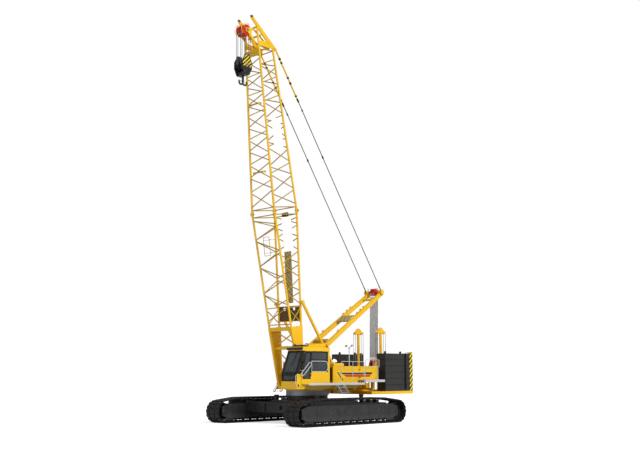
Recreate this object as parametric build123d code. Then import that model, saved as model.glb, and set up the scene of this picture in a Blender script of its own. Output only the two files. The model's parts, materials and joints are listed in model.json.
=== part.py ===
# Lattice-boom crawler crane. Units are millimetres.
# X points forward along the boom side, Y to the left (the cab side), Z up.
# The origin is on the ground, on the slewing axis.
from build123d import *
import math
import os

os.makedirs("parts", exist_ok=True)

SIDES = (-1, 1)          # right, left
CLEAR = 0.3              # pieces bolted or pinned face to face
FIT = 0.5                # radial play of a pin in its bore

# ---- Crawler tracks -------------------------------------------------------
TRACK_LENGTH = 8300
TRACK_GAUGE = 5890       # centre to centre
TRACK_HEIGHT = 1340
SHOE_WIDTH = 975
SHOE_COUNT = 70          # on one track
SHOE_GAP = 22
SHOE_GROOVE = 45         # depth of the gap between shoes
TRACK_THICKNESS = 125
END_RADIUS = 600         # outside of the shoes round an end wheel
SHOULDER_X = 2350        # where the top run starts to slope down
SHOULDER_RADIUS = 260
ROLLER_RADIUS = 170
ROLLER_COUNT = 11
ROLLER_PITCH = 520

# ---- Track frames ---------------------------------------------------------
FRAME_LENGTH = 5800      # full height part
FRAME_TOP = 1000
FRAME_FLOOR = 480
FRAME_SKIRT = 240        # lower edge of the side plates
FRAME_HALF_WIDTH = 275
FRAME_PLATE = 60
YOKE_BOTTOM = 400        # heights of the side plates at the end wheels
YOKE_TOP = 860
PLATE_REACH = 300        # the side plates are full height up to here beyond the frame
YOKE_REACH = 110         # the yokes reach past the centres of the end wheels
RAIL_HALF_WIDTH = 130    # slide rail under the top run
PAD_HEIGHT = 130         # pads under the rear of the top run
PAD_LENGTH = 240
PAD_X = (-2160, -1640, -1120)
RAIL_STEP = -600         # the rail is full height in front of here
RAIL_END = 1140          # height of its sloping end
WHEEL_HUB_RADIUS = 130
DRIVE_RADIUS = 270
DRIVE_LENGTH = 260
MOTOR_RADIUS = 150
MOTOR_LENGTH = 180

# ---- Carbody --------------------------------------------------------------
BEAM_X = 1750            # cross beams, before and behind the slewing axis
BEAM_WIDTH = 450
BEAM_BOTTOM = 560
BEAM_TOP = 1080
CARBODY_HALF_WIDTH = 950
CARBODY_BOTTOM = 560
CARBODY_TOP = 1200
TOW_BORE = 38            # radius
TOW_LUG = 130            # reach of a towing lug
TOW_Z = 820
RING_SEAT_TOP = 1430
RING_RADIUS = 1150
RING_BORE = 930          # radius
RING_TOP = 1700
JACK_Y = 1500
JACK_ARM = 900           # beam centre to jack centre
JACK_RADIUS = 110
JACK_TOP = 1440
JACK_BOTTOM = 380
JACK_FOOT_RADIUS = 170

# ---- Revolving frame ------------------------------------------------------
TURNTABLE_TOP = 1750
GIRDER_INNER = 560       # half distance between the two girders
GIRDER_WIDTH = 140
GIRDER_TOP = 2050
GIRDER_BOTTOM = 1500      # behind the ring
GIRDER_STEP = -1260      # where the deeper part starts
GIRDER_FRONT = 1080
GIRDER_REAR = -4300
FLOOR_REAR = -2700       # plate between the girders
LUG_FRONT = 1450         # lugs of the boom foot
INNER_LUG = 50           # thicknesses
OUTER_LUG = 30
BRACKET_REAR = 250       # brackets of the mast foot
BRACKET = 40
PIN_GAP = 5              # a foot in its lugs, at each side
SEAT_X = -990            # seat of the backstops
SEAT_TOP = 2900
SEAT_BOTTOM = 2720
TRAY_TOP = 1610
TRAY_BOTTOM = 1450
TRAY_FRONT = -2900
TRAY_REAR = -6520
TRAY_HALF_WIDTH = 2050
# Cross beams that carry the side decks: x, reach to the right, reach to the left.
OUTRIGGERS = (
    (-3300, 1850, 1850),
    (-1750, 1850, 1850),
    (-250, 1850, 1850),
    (700, 650, 1850),
)
OUTRIGGER_WIDTH = 160
OUTRIGGER_BOTTOM = 1710
STAND_X = (-3300,)         # stands under the raised rear of a house
STAND_Y = (1160, 1770)
DECK_BOTTOM = 1800
DECK_TOP = 1900
DECK_INNER = 950
RIGHT_DECK_FRONT = 300
HOUSE_INNER = 1080
HOUSE_OUTER = 1850
HOUSE_FRONT = -50
HOUSE_REAR = -3650
HOUSE_TOP = 2960
HOUSE_STEP = 2180        # the rear stretch of a house starts at this height
HOUSE_WALL = 40
HATCH_X = (-3500, -2050)   # service door of a house
HATCH_Z = (2260, 2880)
HATCH_GAP = 6
HINGE_RADIUS = 16
HINGE_STAND = 18           # hinge pin to the wall
KNUCKLE = 60
ENGINE_X = (-3350, -1750)
ENGINE_Z = (2220.6, 2860)
WALK_WIDTH = 520
WALK_TOP = 2030
WALK_STEP = 200          # the rear stretch is higher
WALK_THICKNESS = 50
RIGHT_WALK_FRONT = 50
LEFT_WALK_FRONT = 2300
WALK_STEP_X = -2000      # where the higher stretch starts
LADDER_X = (0, 225)        # front edge of the ladder, right and left
LADDER_WIDTH = 560
LADDER_LEAN = 250          # the foot is this far outside the top
LADDER_FOOT = 1580
STRINGER = 24              # radius
STRINGER_TOP = 60          # length of its upright top
TREAD_DEPTH = 180
TREADS = (0.25, 0.6, 0.95) # shares of the way down

# ---- Boom -----------------------------------------------------------------
BOOM_FOOT = (1250, 1950)   # x, z of the foot pins
BOOM_ANGLE = 82.04         # as parked, from the horizontal
LEG_THICKNESS = 120
FOOT_RADIUS = 130
FOOT_PIN = 55              # radius
FOOT_HALF_WIDTH = 815
FOOT_HALF_DEPTH = 139
LEG_LENGTH = 3090
# Ties between the legs: half depth, from, to along the boom.
LEG_TIES = (
    (130, 1900, 2060),
    (356, 2900, 3060),
)
LEG_BRACES = ((650, 1850), (2110, 2850))   # crossed tubes, from and to along the boom
LEG_BRACE = 35             # radius
JOINT_S = 9180             # lower and upper section meet, along the boom
JOINT_HALF_WIDTH = 857
JOINT_HALF_DEPTH = 822
TOP_S = 18000              # rear chords end here
TOP_HALF_WIDTH = 512
TOP_HALF_DEPTH = 500
FRONT_TOP_S = 18880        # front chords run on to here
CHORD = 56                 # radii
LACE = 28
SLEEVE = 84
SLEEVE_LENGTH = 130
NODE_GAP = 46              # a diagonal meets its chord this far from the node
# Stations of the cross tubes along the boom, by section and face.
# Heights along the boom at which the diagonals meet the chords, and cross tubes.
LOWER_NODES = (4200, 4890, 5620, 6340, 7060, 7760, 8450, 8860)
FRONT_FIRST_NODE = 3400    # the front face has one more diagonal below
UPPER_NODES = (9500, 10330, 11110, 11800, 12530, 13150, 13800, 14400, 14980, 15490,
               15990, 16490, 16980, 17430)
LOWER_CROSS = {"side": (4110, 8990), "front": (3240, 8990), "rear": (8990,)}
UPPER_CROSS = {"side": (9375, 17850), "front": (9375,), "rear": (9375, 17850)}
SIDE_X = (3250, 4040)      # crossed tubes at each side
# Boards on the rear face: from, to along the boom, width, thickness.
CATWALK = (4300, 7060, 490, 40)
SIGN_BOARDS = (
    (7110, 8900, 640, 25),
    (12510, 14320, 600, 25),
)
HEAD_AXLE = (1030, 18870)  # forward of the boom's axis, along it
HEAD_SHEAVE = 305
HEAD_SHEAVES = 5           # the block has one fewer
HEAD_SHEAVE_PITCH = 110
HEAD_PIN = 55              # radius of the sheave axle
HEAD_TIES = ((-390, 18070), (250, 18640), (445, 19070))   # cross tubes between the arms
ARM_TIP = (820, 19560)
ARM_BORE = 35
REAR_PLATE = (3330, 4150)  # along the boom
FRONT_PLATE = (17540, 17900)
PLATE_THICKNESS = 24
PLATE_HOLE = 90            # radius
PLATE_HOLE_DROP = 150      # below the upper edge
PLATE_HOLE_Y = 360
BACKSTOP_S = 4310
BACKSTOP_Y = 990
BACKSTOP_RADIUS = 78

# ---- Hook -----------------------------------------------------------------
FALL_RADIUS = 14
BLOCK_DROP = 1900          # head axle to the block's axle
BLOCK_SHEAVE = 280
BLOCK_HALF_WIDTH = 330
HOOK_DROP = 2700           # head axle to the hook's shank collar
CROSSHEAD_TOP = 400        # below the block's axle
SHANK = 60                 # radii
PRONG = 48
BOWL = 130

# ---- Mast -----------------------------------------------------------------
MAST_FOOT = (950, 3100)
MAST_HEAD = (-5570, 7280)
MAST_FOOT_Y = 644
MAST_HEAD_Y = 452
MAST_BEAM_WIDTH = 190
MAST_BEAM_DEPTH = 225
MAST_BEAM_DROP = 130     # the beams' centre line below the line of the pins
MAST_CROSS_TUBES = ((2230, 60), (4790, 60), (7100, 70))   # distance from the foot, radius
MAST_END_WIDTH = 150
MAST_KNEE = 700            # the foot piece of a beam reaches up to here
MAST_PIN = 60
LUFF_SHEAVE = 200
LUFF_SHEAVES = 8
LUFF_SHEAVE_PITCH = 40
LUFF_SHAFT = 45            # radius
SHEAVE_GROOVE = 25
ROPE_RADIUS = 10
ROPE_STEP = 2 * ROPE_RADIUS + CLEAR   # strands of a bundle, side by side
ANCHOR = (-5500, 3200)     # axle of the lower luffing sheaves
ANCHOR_HALF_WIDTH = 220
ANCHOR_HALF_LENGTH = 260
ANCHOR_LEG = 60            # its pedestal stands on four legs
BUNDLES = (-120, -40, 40, 120)         # y of the bundles of luffing strands
PENDANT_S = 17940
PENDANT_D = -640           # behind the boom's axis
PENDANT_PIN = 35
PENDANT_Y = 580
PENDANT_BAR = 45           # radii
PENDANT_ROPE = 24
PENDANT_SOCKET = 30
PENDANT_BAR_END = 2900     # distances along a pendant
SOCKET_LENGTH = 380

# ---- Cab ------------------------------------------------------------------
CAB_REAR = 430
CAB_FRONT = 2850
CAB_INNER = 950
CAB_OUTER = 2050
CAB_FLOOR = 1900
CAB_SILL = 2560            # where the windscreen splits
CAB_EAVES = 3750
CAB_ROOF = 3930
CAB_LEAN = 480             # how far the windscreen leans back
CAB_WALL = 60
GLASS = 12
WINDOW_BOTTOM = 2620
WINDOW_TOP = 3670
WINDOW_EDGE = 90           # cab corner to the front and rear windows
SIDE_WINDOW_REAR = 180     # cab corner to the side windows
SIDE_WINDOW_FRONT = 130
SIDE_PANES = ((2690, 3190), (3270, 3670))   # behind the door, lower and upper
LOWER_SCREEN = (2240, 2500)
WINDOWS = ("windscreen", "lower screen", "rear", "right", "left lower", "left upper")
DOOR_REAR = 1830
DOOR_FRONT = 2550
DOOR_TOP_FRONT = 2270      # the front edge leans back above the sill
DOOR_THICKNESS = 45
DOOR_BOTTOM = 1960
DOOR_TOP = 3705
DOOR_GAP = 6               # the sliding door clears the cab's wall
DOOR_FRAME = 85
DOOR_PANE = (2320, 3620)   # bottom and top
DOOR_RAIL = 30

# ---- Winches --------------------------------------------------------------
DRUM_Z = 2330
DRUM_FLANGE = 400
DRUM_BARREL = 270
DRUM_SHAFT = 60
DRUM_PLATE = 40            # thickness of a flange
# name, x
DRUMS = (
    ("front_hoist_drum", -350),
    ("rear_hoist_drum", -1900),
    ("luffing_drum", -3050),
)

# ---- Counterweight --------------------------------------------------------
SLAB_COUNT = 6
SLAB_THICKNESS = 346
SLAB_BEVEL = 18
SLAB_INNER = 1400
SLAB_OUTER = 2050
SLAB_FRONT = -4100
SLAB_REAR = -6230
POST_X = -5120
POST_Y = 850
POST_RADIUS = 80
POST_TOP = 5000
POST_HEAD = 300            # half length of its head


# ---- Helpers --------------------------------------------------------------
def box(x0, x1, y0, y1, z0, z1):
    return Solid.make_box(x1 - x0, y1 - y0, z1 - z0, Plane(origin=(x0, y0, z0)))


def rod(start, end, radius):
    start, end = Vector(start), Vector(end)
    run = end - start
    return Solid.make_cylinder(radius, run.length, Plane(origin=start, z_dir=run))


def upright(radius, z0, z1):
    return Solid.make_cylinder(radius, z1 - z0, Plane(origin=(0, 0, z0)))


def cross_rod(x, z, y0, y1, radius):
    return rod((x, y0, z), (x, y1, z), radius)


def prism(outline, y0, y1):
    """A plate with its outline in x and z, between two values of y."""
    y0, y1 = min(y0, y1), max(y0, y1)
    wire = Wire.make_polygon([(x, y0, z) for x, z in outline], close=True)
    return Solid.extrude(Face(wire), Vector(0, y1 - y0, 0))


def slab(outline, z0, z1):
    """A plate with its outline in x and y, between two heights."""
    wire = Wire.make_polygon([(x, y, z0) for x, y in outline], close=True)
    return Solid.extrude(Face(wire), Vector(0, 0, z1 - z0))


def join(first, *others):
    joined = first.fuse(*others)
    return joined.solids()[0] if len(joined.solids()) == 1 else joined


def cut(body, *tools):
    left = body.cut(*tools)
    return left.solids()[0] if len(left.solids()) == 1 else left


def save(name, *shapes):
    solids = [solid for shape in shapes for solid in shape.solids()]
    export_step(solids[0] if len(solids) == 1 else Compound(solids), f"parts/{name}.step")


def slanted(origin, degrees):
    """A frame whose z runs up a slanted member and whose y is the crane's."""
    angle = math.radians(degrees)
    return Location(Plane(
        origin=(origin[0], 0, origin[1]),
        x_dir=(math.sin(angle), 0, -math.cos(angle)),
        z_dir=(math.cos(angle), 0, math.sin(angle)),
    ))


def place(location, point):
    """A point of a slanted frame, given as x, y, z, in the crane's frame."""
    plane = Plane(location)
    return plane.from_local_coords(Vector(*point))


# ---- Tracks ---------------------------------------------------------------
def track_circles():
    end = (TRACK_LENGTH / 2 - END_RADIUS, END_RADIUS, END_RADIUS)
    shoulder = (SHOULDER_X, TRACK_HEIGHT - SHOULDER_RADIUS, SHOULDER_RADIUS)
    return [(-end[0], *end[1:]), end, shoulder, (-shoulder[0], *shoulder[1:])]


def belt_pieces(circles):
    """A belt round circles, as (run, start, end, normal) and (arc, centre, radius, angles)."""
    normals = []
    for (x1, z1, r1), (x2, z2, r2) in zip(circles, circles[1:] + circles[:1]):
        length = math.hypot(x2 - x1, z2 - z1)
        base = math.atan2(z2 - z1, x2 - x1)
        normals.append(base - math.pi / 2 + math.asin((r1 - r2) / length))
    pieces = []
    for i, (x, z, r) in enumerate(circles):
        into, out = normals[i - 1], normals[i]
        while out < into:
            out += 2 * math.pi
        pieces.append(("arc", (x, z), r, (into, out)))
        x2, z2, r2 = circles[(i + 1) % len(circles)]
        n = (math.cos(out), math.sin(out))
        start, end = (x + r * n[0], z + r * n[1]), (x2 + r2 * n[0], z2 + r2 * n[1])
        pieces.append(("run", start, end, n))
    return pieces


def piece_length(piece):
    if piece[0] == "arc":
        return piece[2] * (piece[3][1] - piece[3][0])
    return math.dist(piece[1], piece[2])


def belt_point(pieces, distance, inset):
    """The point a distance along the belt's outside, set in by a depth."""
    for piece in pieces:
        length = piece_length(piece)
        if distance <= length:
            break
        distance -= length
    share = min(distance / length, 1)
    if piece[0] == "arc":
        (x, z), r, (a0, a1) = piece[1:]
        angle = a0 + (a1 - a0) * share
        return x + (r - inset) * math.cos(angle), z + (r - inset) * math.sin(angle)
    (x1, z1), (x2, z2), (nx, nz) = piece[1:]
    return x1 + (x2 - x1) * share - inset * nx, z1 + (z2 - z1) * share - inset * nz


def belt_face(circles, y):
    """The filled inside of a belt line round circles."""
    edges = []
    for piece in belt_pieces(circles):
        if piece[0] == "arc":
            (x, z), r, (a0, a1) = piece[1:]
            angles = (a0, (a0 + a1) / 2, a1)
            points = [(x + r * math.cos(a), y, z + r * math.sin(a)) for a in angles]
            edges.append(Edge.make_three_point_arc(*points))
        else:
            edges.append(Edge.make_line(*[(x, y, z) for x, z in piece[1:3]]))
    return Face(Wire(edges))


def track(side):
    centre = side * TRACK_GAUGE / 2
    y0, y1 = centre - SHOE_WIDTH / 2, centre + SHOE_WIDTH / 2
    pieces = belt_pieces(track_circles())
    pitch = sum(piece_length(piece) for piece in pieces) / SHOE_COUNT
    half_gap = SHOE_GAP / 2
    shoe = (
        (half_gap, SHOE_GROOVE),           # distance along the belt, depth below its outside
        (half_gap, 0),
        (pitch - half_gap, 0),
        (pitch - half_gap, SHOE_GROOVE),
    )
    outline = []
    for i in range(SHOE_COUNT):
        outline += [belt_point(pieces, i * pitch + along, inset) for along, inset in shoe]
    inner = [(x, z, r - TRACK_THICKNESS) for x, z, r in track_circles()]
    hollow = Solid.extrude(belt_face(inner, y0 - 1), Vector(0, y1 - y0 + 2, 0))
    return cut(prism(outline, y0, y1), hollow)


def turned(profile, x, y, z):
    """A wheel about a line along y: profile points are distance across, radius."""
    wire = Wire.make_polygon([(0, across, radius) for across, radius in profile], close=True)
    return Solid.revolve(Face(wire), 360, Axis((0, 0, 0), (0, 1, 0))).moved(Location((x, y, z)))


END_WHEEL_RADIUS = END_RADIUS - TRACK_THICKNESS - CLEAR
INNER_PLATE_FACE = FRAME_HALF_WIDTH - FRAME_PLATE


def end_wheel(x, side):
    rim, hub = 150, INNER_PLATE_FACE - CLEAR
    r = END_WHEEL_RADIUS
    web = [(rim, r - 90), (45, r - 120), (45, WHEEL_HUB_RADIUS)]
    right = [(rim, r), *web, (hub, WHEEL_HUB_RADIUS), (hub, 0)]
    profile = [(-across, radius) for across, radius in reversed(right)] + right
    return turned(profile, x, side * TRACK_GAUGE / 2, END_RADIUS)


def roller(x, side):
    half = INNER_PLATE_FACE - CLEAR
    r = ROLLER_RADIUS
    outer, inner = half - 40, half - 110
    right = [(inner, r - 30), (inner, r), (outer, r), (outer, 60), (half, 60), (half, 0)]
    profile = [(-across, radius) for across, radius in reversed(right)] + right
    return turned(profile, x, side * TRACK_GAUGE / 2, TRACK_THICKNESS + CLEAR + r)


def track_frame(side):
    centre = side * TRACK_GAUGE / 2
    end_x = TRACK_LENGTH / 2 - END_RADIUS
    half = FRAME_LENGTH / 2
    right = [
        (half + PLATE_REACH, FRAME_SKIRT),
        (end_x + YOKE_REACH, YOKE_BOTTOM),
        (end_x + YOKE_REACH, YOKE_TOP),
        (half + PLATE_REACH, FRAME_TOP),
    ]
    outline = right + [(-x, z) for x, z in reversed(right)]
    plates = [
        prism(outline, centre + s * INNER_PLATE_FACE, centre + s * FRAME_HALF_WIDTH)
        for s in SIDES
    ]
    core_end = half - 250
    core = box(-core_end, core_end, centre - INNER_PLATE_FACE, centre + INNER_PLATE_FACE,
               FRAME_FLOOR + 20, FRAME_TOP)
    # The top run slides on a rail, and on short pads where the rail is lower.
    top_run = TRACK_HEIGHT - TRACK_THICKNESS - CLEAR
    low_top = top_run - PAD_HEIGHT
    rail = [
        (half, FRAME_TOP - 20),
        (half, RAIL_END),
        (SHOULDER_X, top_run),
        (RAIL_STEP, top_run),
        (RAIL_STEP, low_top),
        (-SHOULDER_X, low_top),
        (-half, low_top - 20),
        (-half, FRAME_TOP - 20),
    ]
    y0, y1 = centre - RAIL_HALF_WIDTH, centre + RAIL_HALF_WIDTH
    parts = [prism(rail, y0, y1)]
    for x in PAD_X:
        parts.append(box(x - PAD_LENGTH / 2, x + PAD_LENGTH / 2, y0, y1, low_top, top_run))
    inner_y = centre - side * FRAME_HALF_WIDTH
    drive_y = inner_y - side * DRIVE_LENGTH
    parts.append(cross_rod(-end_x, END_RADIUS, inner_y, drive_y, DRIVE_RADIUS))
    parts.append(cross_rod(-end_x, END_RADIUS, drive_y, drive_y - side * MOTOR_LENGTH, MOTOR_RADIUS))
    return join(core, *plates, *parts)


def undercarriage():
    for side, name in zip(SIDES, ("right", "left")):
        save(f"track_{name}", track(side))
        save(f"track_frame_{name}", track_frame(side))
    end_x = TRACK_LENGTH / 2 - END_RADIUS
    save("drive_sprockets", *[end_wheel(-end_x, side) for side in SIDES])
    save("idler_wheels", *[end_wheel(end_x, side) for side in SIDES])
    first = -ROLLER_PITCH * (ROLLER_COUNT - 1) / 2
    places = [first + i * ROLLER_PITCH for i in range(ROLLER_COUNT)]
    save("track_rollers", *[roller(x, side) for side in SIDES for x in places])
    save("carbody", carbody())
    save("slew_ring", slew_ring())
    save("assembly_jacks", *[jack(end, side) for end in SIDES for side in SIDES])


def carbody():
    reach = TRACK_GAUGE / 2 - FRAME_HALF_WIDTH - CLEAR
    half = BEAM_WIDTH / 2
    parts = []
    bores = []
    for end in SIDES:
        x = end * BEAM_X
        parts.append(box(x - half, x + half, -reach, reach, BEAM_BOTTOM, BEAM_TOP))
        root, tip = end * (BEAM_X + half - 20), end * (BEAM_X + half + TOW_LUG)
        lug = [(root, TOW_Z - 120), (tip, TOW_Z - 80), (tip, TOW_Z + 80), (root, TOW_Z + 120)]
        parts.append(prism(lug, -30, 30))
        bores.append(cross_rod(tip - end * TOW_LUG / 2, TOW_Z, -100, 100, TOW_BORE))
    centre = box(-BEAM_X, BEAM_X, -CARBODY_HALF_WIDTH, CARBODY_HALF_WIDTH, CARBODY_BOTTOM, CARBODY_TOP)
    seat = upright(RING_RADIUS - 60, BEAM_TOP, RING_SEAT_TOP)
    return cut(join(centre, seat, *parts), *bores)


def slew_ring():
    ring = upright(RING_RADIUS, RING_SEAT_TOP + CLEAR, RING_TOP)
    return cut(ring, upright(RING_BORE, 0, RING_TOP + 10))


def jack(end, side):
    x, y = end * BEAM_X - JACK_ARM, side * JACK_Y
    face = end * BEAM_X - BEAM_WIDTH / 2 - CLEAR
    arm = box(x, face, y - 80, y + 80, BEAM_TOP - 260, BEAM_TOP - 20)
    post = rod((x, y, JACK_BOTTOM), (x, y, JACK_TOP), JACK_RADIUS)
    foot = rod((x, y, JACK_BOTTOM - 50), (x, y, JACK_BOTTOM), JACK_FOOT_RADIUS)
    return join(post, arm, foot)


# ---- Revolving frame ------------------------------------------------------
def main_frame():
    inner, outer = GIRDER_INNER, GIRDER_INNER + GIRDER_WIDTH
    foot_x, foot_z = BOOM_FOOT
    mast_x, mast_z = MAST_FOOT
    tail = [
        (GIRDER_REAR, TRAY_TOP + CLEAR),
        (TRAY_FRONT + 60, TRAY_TOP + CLEAR),
        (TRAY_FRONT + 60, GIRDER_BOTTOM),
        (GIRDER_STEP, GIRDER_BOTTOM),
        (GIRDER_STEP, TURNTABLE_TOP),
        (GIRDER_FRONT, TURNTABLE_TOP),
        (GIRDER_FRONT, GIRDER_TOP),
        (GIRDER_REAR, GIRDER_TOP),
    ]
    lug_root = GIRDER_FRONT - 20
    lug = [
        (lug_root, TURNTABLE_TOP),
        (LUG_FRONT, TURNTABLE_TOP),
        (LUG_FRONT, foot_z - 150),
        (foot_x + 130, foot_z),
        (foot_x + 90, foot_z + 110),
        (foot_x - 90, foot_z + 110),
        (lug_root, foot_z),
    ]
    bracket = [
        (BRACKET_REAR, GIRDER_TOP),
        (GIRDER_FRONT, GIRDER_TOP),
        (mast_x + 120, mast_z),
        (mast_x + 60, mast_z + 110),
        (mast_x - 60, mast_z + 110),
        (mast_x - 130, mast_z),
    ]
    strut = [
        (SEAT_X - 110, GIRDER_TOP),
        (SEAT_X + 110, GIRDER_TOP),
        (SEAT_X + 70, SEAT_BOTTOM),
        (SEAT_X - 70, SEAT_BOTTOM),
    ]
    # Across the machine, per side: the two boom lugs hold a leg between them, the two mast
    # brackets a foot of the mast.
    leg_inner = FOOT_HALF_WIDTH - LEG_THICKNESS / 2 - PIN_GAP
    leg_outer = leg_inner + LEG_THICKNESS + 2 * PIN_GAP
    mast_half = MAST_BEAM_WIDTH / 2 + PIN_GAP
    parts = [upright(RING_RADIUS, RING_TOP + CLEAR, TURNTABLE_TOP)]
    for side in SIDES:
        parts.append(prism(tail, side * inner, side * outer))
        parts.append(prism(lug, side * (leg_inner - INNER_LUG), side * leg_inner))
        parts.append(prism(lug, side * leg_outer, side * (leg_outer + OUTER_LUG)))
        parts.append(cross_rod(foot_x, foot_z, side * (leg_inner - INNER_LUG),
                               side * (leg_outer + OUTER_LUG - 10), FOOT_PIN))
        bracket_inner = MAST_FOOT_Y - mast_half - BRACKET
        bracket_outer = MAST_FOOT_Y + mast_half + BRACKET
        parts.append(prism(bracket, side * bracket_inner, side * (bracket_inner + BRACKET)))
        parts.append(prism(bracket, side * (bracket_outer - BRACKET), side * bracket_outer))
        parts.append(box(BRACKET_REAR, GIRDER_FRONT, *sorted((side * bracket_inner, side * bracket_outer)),
                         GIRDER_TOP - 60, GIRDER_TOP))
        parts.append(cross_rod(mast_x, mast_z, side * (bracket_inner + 25),
                               side * (bracket_outer - 25), MAST_PIN))
        brace_y = side * (inner + outer) / 2
        parts.append(prism(strut, side * (inner + 10), side * (outer - 10)))
        parts.append(rod((SEAT_X + 60, brace_y, SEAT_BOTTOM - 60), (300, brace_y, GIRDER_TOP - 20), 50))
        for _, x in DRUMS:
            bearing = [
                (x - 200, GIRDER_TOP),
                (x + 200, GIRDER_TOP),
                (x + 110, DRUM_Z + 130),
                (x - 110, DRUM_Z + 130),
            ]
            parts.append(prism(bearing, side * (inner + 15), side * (outer - 15)))
    parts.append(box(lug_root, LUG_FRONT, -leg_inner, leg_inner, TURNTABLE_TOP, TURNTABLE_TOP + 180))
    parts.append(box(SEAT_X - 75, SEAT_X + 75, -BACKSTOP_Y - 80, BACKSTOP_Y + 80, SEAT_BOTTOM, SEAT_TOP))
    parts.append(box(FLOOR_REAR, GIRDER_FRONT, -inner, inner, TURNTABLE_TOP - 40, TURNTABLE_TOP + 40))
    half = OUTRIGGER_WIDTH / 2
    for x, right, left in OUTRIGGERS:
        parts.append(box(x - half, x + half, -right, left, OUTRIGGER_BOTTOM, DECK_BOTTOM - CLEAR))
    for x in STAND_X:
        for y in (*STAND_Y, *[-y for y in STAND_Y]):
            parts.append(box(x - half, x + half, y - half, y + half, DECK_BOTTOM - 20, HOUSE_STEP - CLEAR))
    bores = [cross_rod(x, DRUM_Z, -outer, outer, DRUM_SHAFT + FIT) for _, x in DRUMS]
    return cut(join(*parts), *bores)


def decks():
    left = slab([
        (WALK_STEP_X, DECK_INNER),
        (CAB_FRONT, DECK_INNER),
        (CAB_FRONT, CAB_OUTER),
        (CAB_REAR, CAB_OUTER),
        (CAB_REAR, HOUSE_OUTER),
        (WALK_STEP_X, HOUSE_OUTER),
    ], DECK_BOTTOM, DECK_TOP)
    right = box(WALK_STEP_X, RIGHT_DECK_FRONT, -HOUSE_OUTER, -DECK_INNER, DECK_BOTTOM, DECK_TOP)
    save("side_decks", left, right)
    save("walkways", walkway(-1), walkway(1))
    save("access_steps", *[ladder(side, front) for side, front in zip(SIDES, LADDER_X)])


def walkway(side):
    """The catwalk of one side: a low stretch, a riser and a high stretch behind it."""
    edge = HOUSE_OUTER + WALK_WIDTH
    by_cab = CAB_OUTER + DOOR_GAP + DOOR_THICKNESS + 8     # clear of the sliding door

    def plate(x0, x1, inner, low, high):
        return box(x0, x1, *sorted((side * (inner + CLEAR), side * edge)), low, high)

    low_bottom, high_top = WALK_TOP - WALK_THICKNESS, WALK_TOP + WALK_STEP
    if side > 0:
        low = join(plate(WALK_STEP_X, CAB_REAR - 20, HOUSE_OUTER, low_bottom, WALK_TOP),
                   plate(CAB_REAR - 20, LEFT_WALK_FRONT, by_cab, low_bottom, WALK_TOP))
    else:
        low = plate(WALK_STEP_X, RIGHT_WALK_FRONT, HOUSE_OUTER, low_bottom, WALK_TOP)
    high = plate(HOUSE_REAR, WALK_STEP_X, HOUSE_OUTER, high_top - WALK_THICKNESS, high_top)
    riser = plate(WALK_STEP_X - 30, WALK_STEP_X, HOUSE_OUTER, low_bottom, high_top)
    return join(low, high, riser)


def ladder(side, front):
    """Two tubes that lean outwards from the edge of a walkway, and their treads."""
    edge = HOUSE_OUTER + WALK_WIDTH - 2 * STRINGER
    top = WALK_TOP - WALK_THICKNESS - CLEAR
    knee = top - STRINGER_TOP
    parts = []
    for x in (front - LADDER_WIDTH + STRINGER, front - STRINGER):
        upper, bend = (x, side * edge, top), (x, side * edge, knee)
        foot = (x, side * (edge + LADDER_LEAN), LADDER_FOOT)
        parts += [rod(upper, bend, STRINGER), rod(bend, foot, STRINGER)]
    for share in TREADS:
        y = side * (edge + LADDER_LEAN * share)
        z = knee + (LADDER_FOOT - knee) * share
        half = TREAD_DEPTH / 2
        parts.append(box(front - LADDER_WIDTH, front, y - half, y + half, z, z + 30))
    return join(*parts)


def house(side):
    y0, y1 = sorted((side * HOUSE_INNER, side * HOUSE_OUTER))
    w = HOUSE_WALL
    base = DECK_TOP + CLEAR
    outline = [
        (HOUSE_REAR, HOUSE_STEP),
        (WALK_STEP_X, HOUSE_STEP),
        (WALK_STEP_X, base),
        (HOUSE_FRONT, base),
        (HOUSE_FRONT, HOUSE_TOP),
        (HOUSE_REAR, HOUSE_TOP),
    ]
    inside = [
        (HOUSE_REAR + w, HOUSE_STEP + w),
        (WALK_STEP_X + w, HOUSE_STEP + w),
        (WALK_STEP_X + w, base + w),
        (HOUSE_FRONT - w, base + w),
        (HOUSE_FRONT - w, HOUSE_TOP - w),
        (HOUSE_REAR + w, HOUSE_TOP - w),
    ]
    (x0, x1), (z0, z1) = HATCH_X, HATCH_Z
    hatch_y = sorted((side * (HOUSE_OUTER - w), side * HOUSE_OUTER))
    opening = box(x0, x1, hatch_y[0] - 5, hatch_y[1] + 5, z0, z1)
    g = HATCH_GAP
    walls = [cut(prism(outline, y0, y1), prism(inside, y0 + w, y1 - w), opening)]
    doors = [box(x0 + g, x1 - g, *hatch_y, z0 + g, z1 - g)]
    # Hinges: a door knuckle between two wall knuckles, at two heights.
    pin_x, pin_y = x0 + g / 2, side * (HOUSE_OUTER + HINGE_STAND)
    leaf_y = sorted((side * HOUSE_OUTER, side * (HOUSE_OUTER + 10)))
    knuckles = (
        (walls, -1, -90),        # owner, side of the pin that its leaf is on, lower end
        (doors, 1, -30),
        (walls, -1, 30),
    )
    for middle in (z0 + 120, z1 - 120):
        for owner, way, start in knuckles:
            low = middle + start + CLEAR / 2
            high = low + KNUCKLE - CLEAR
            owner.append(rod((pin_x, pin_y, low), (pin_x, pin_y, high), HINGE_RADIUS))
            owner.append(box(*sorted((pin_x, pin_x + way * 70)), *leaf_y, low, high))
    return join(*walls), join(*doors)


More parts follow.
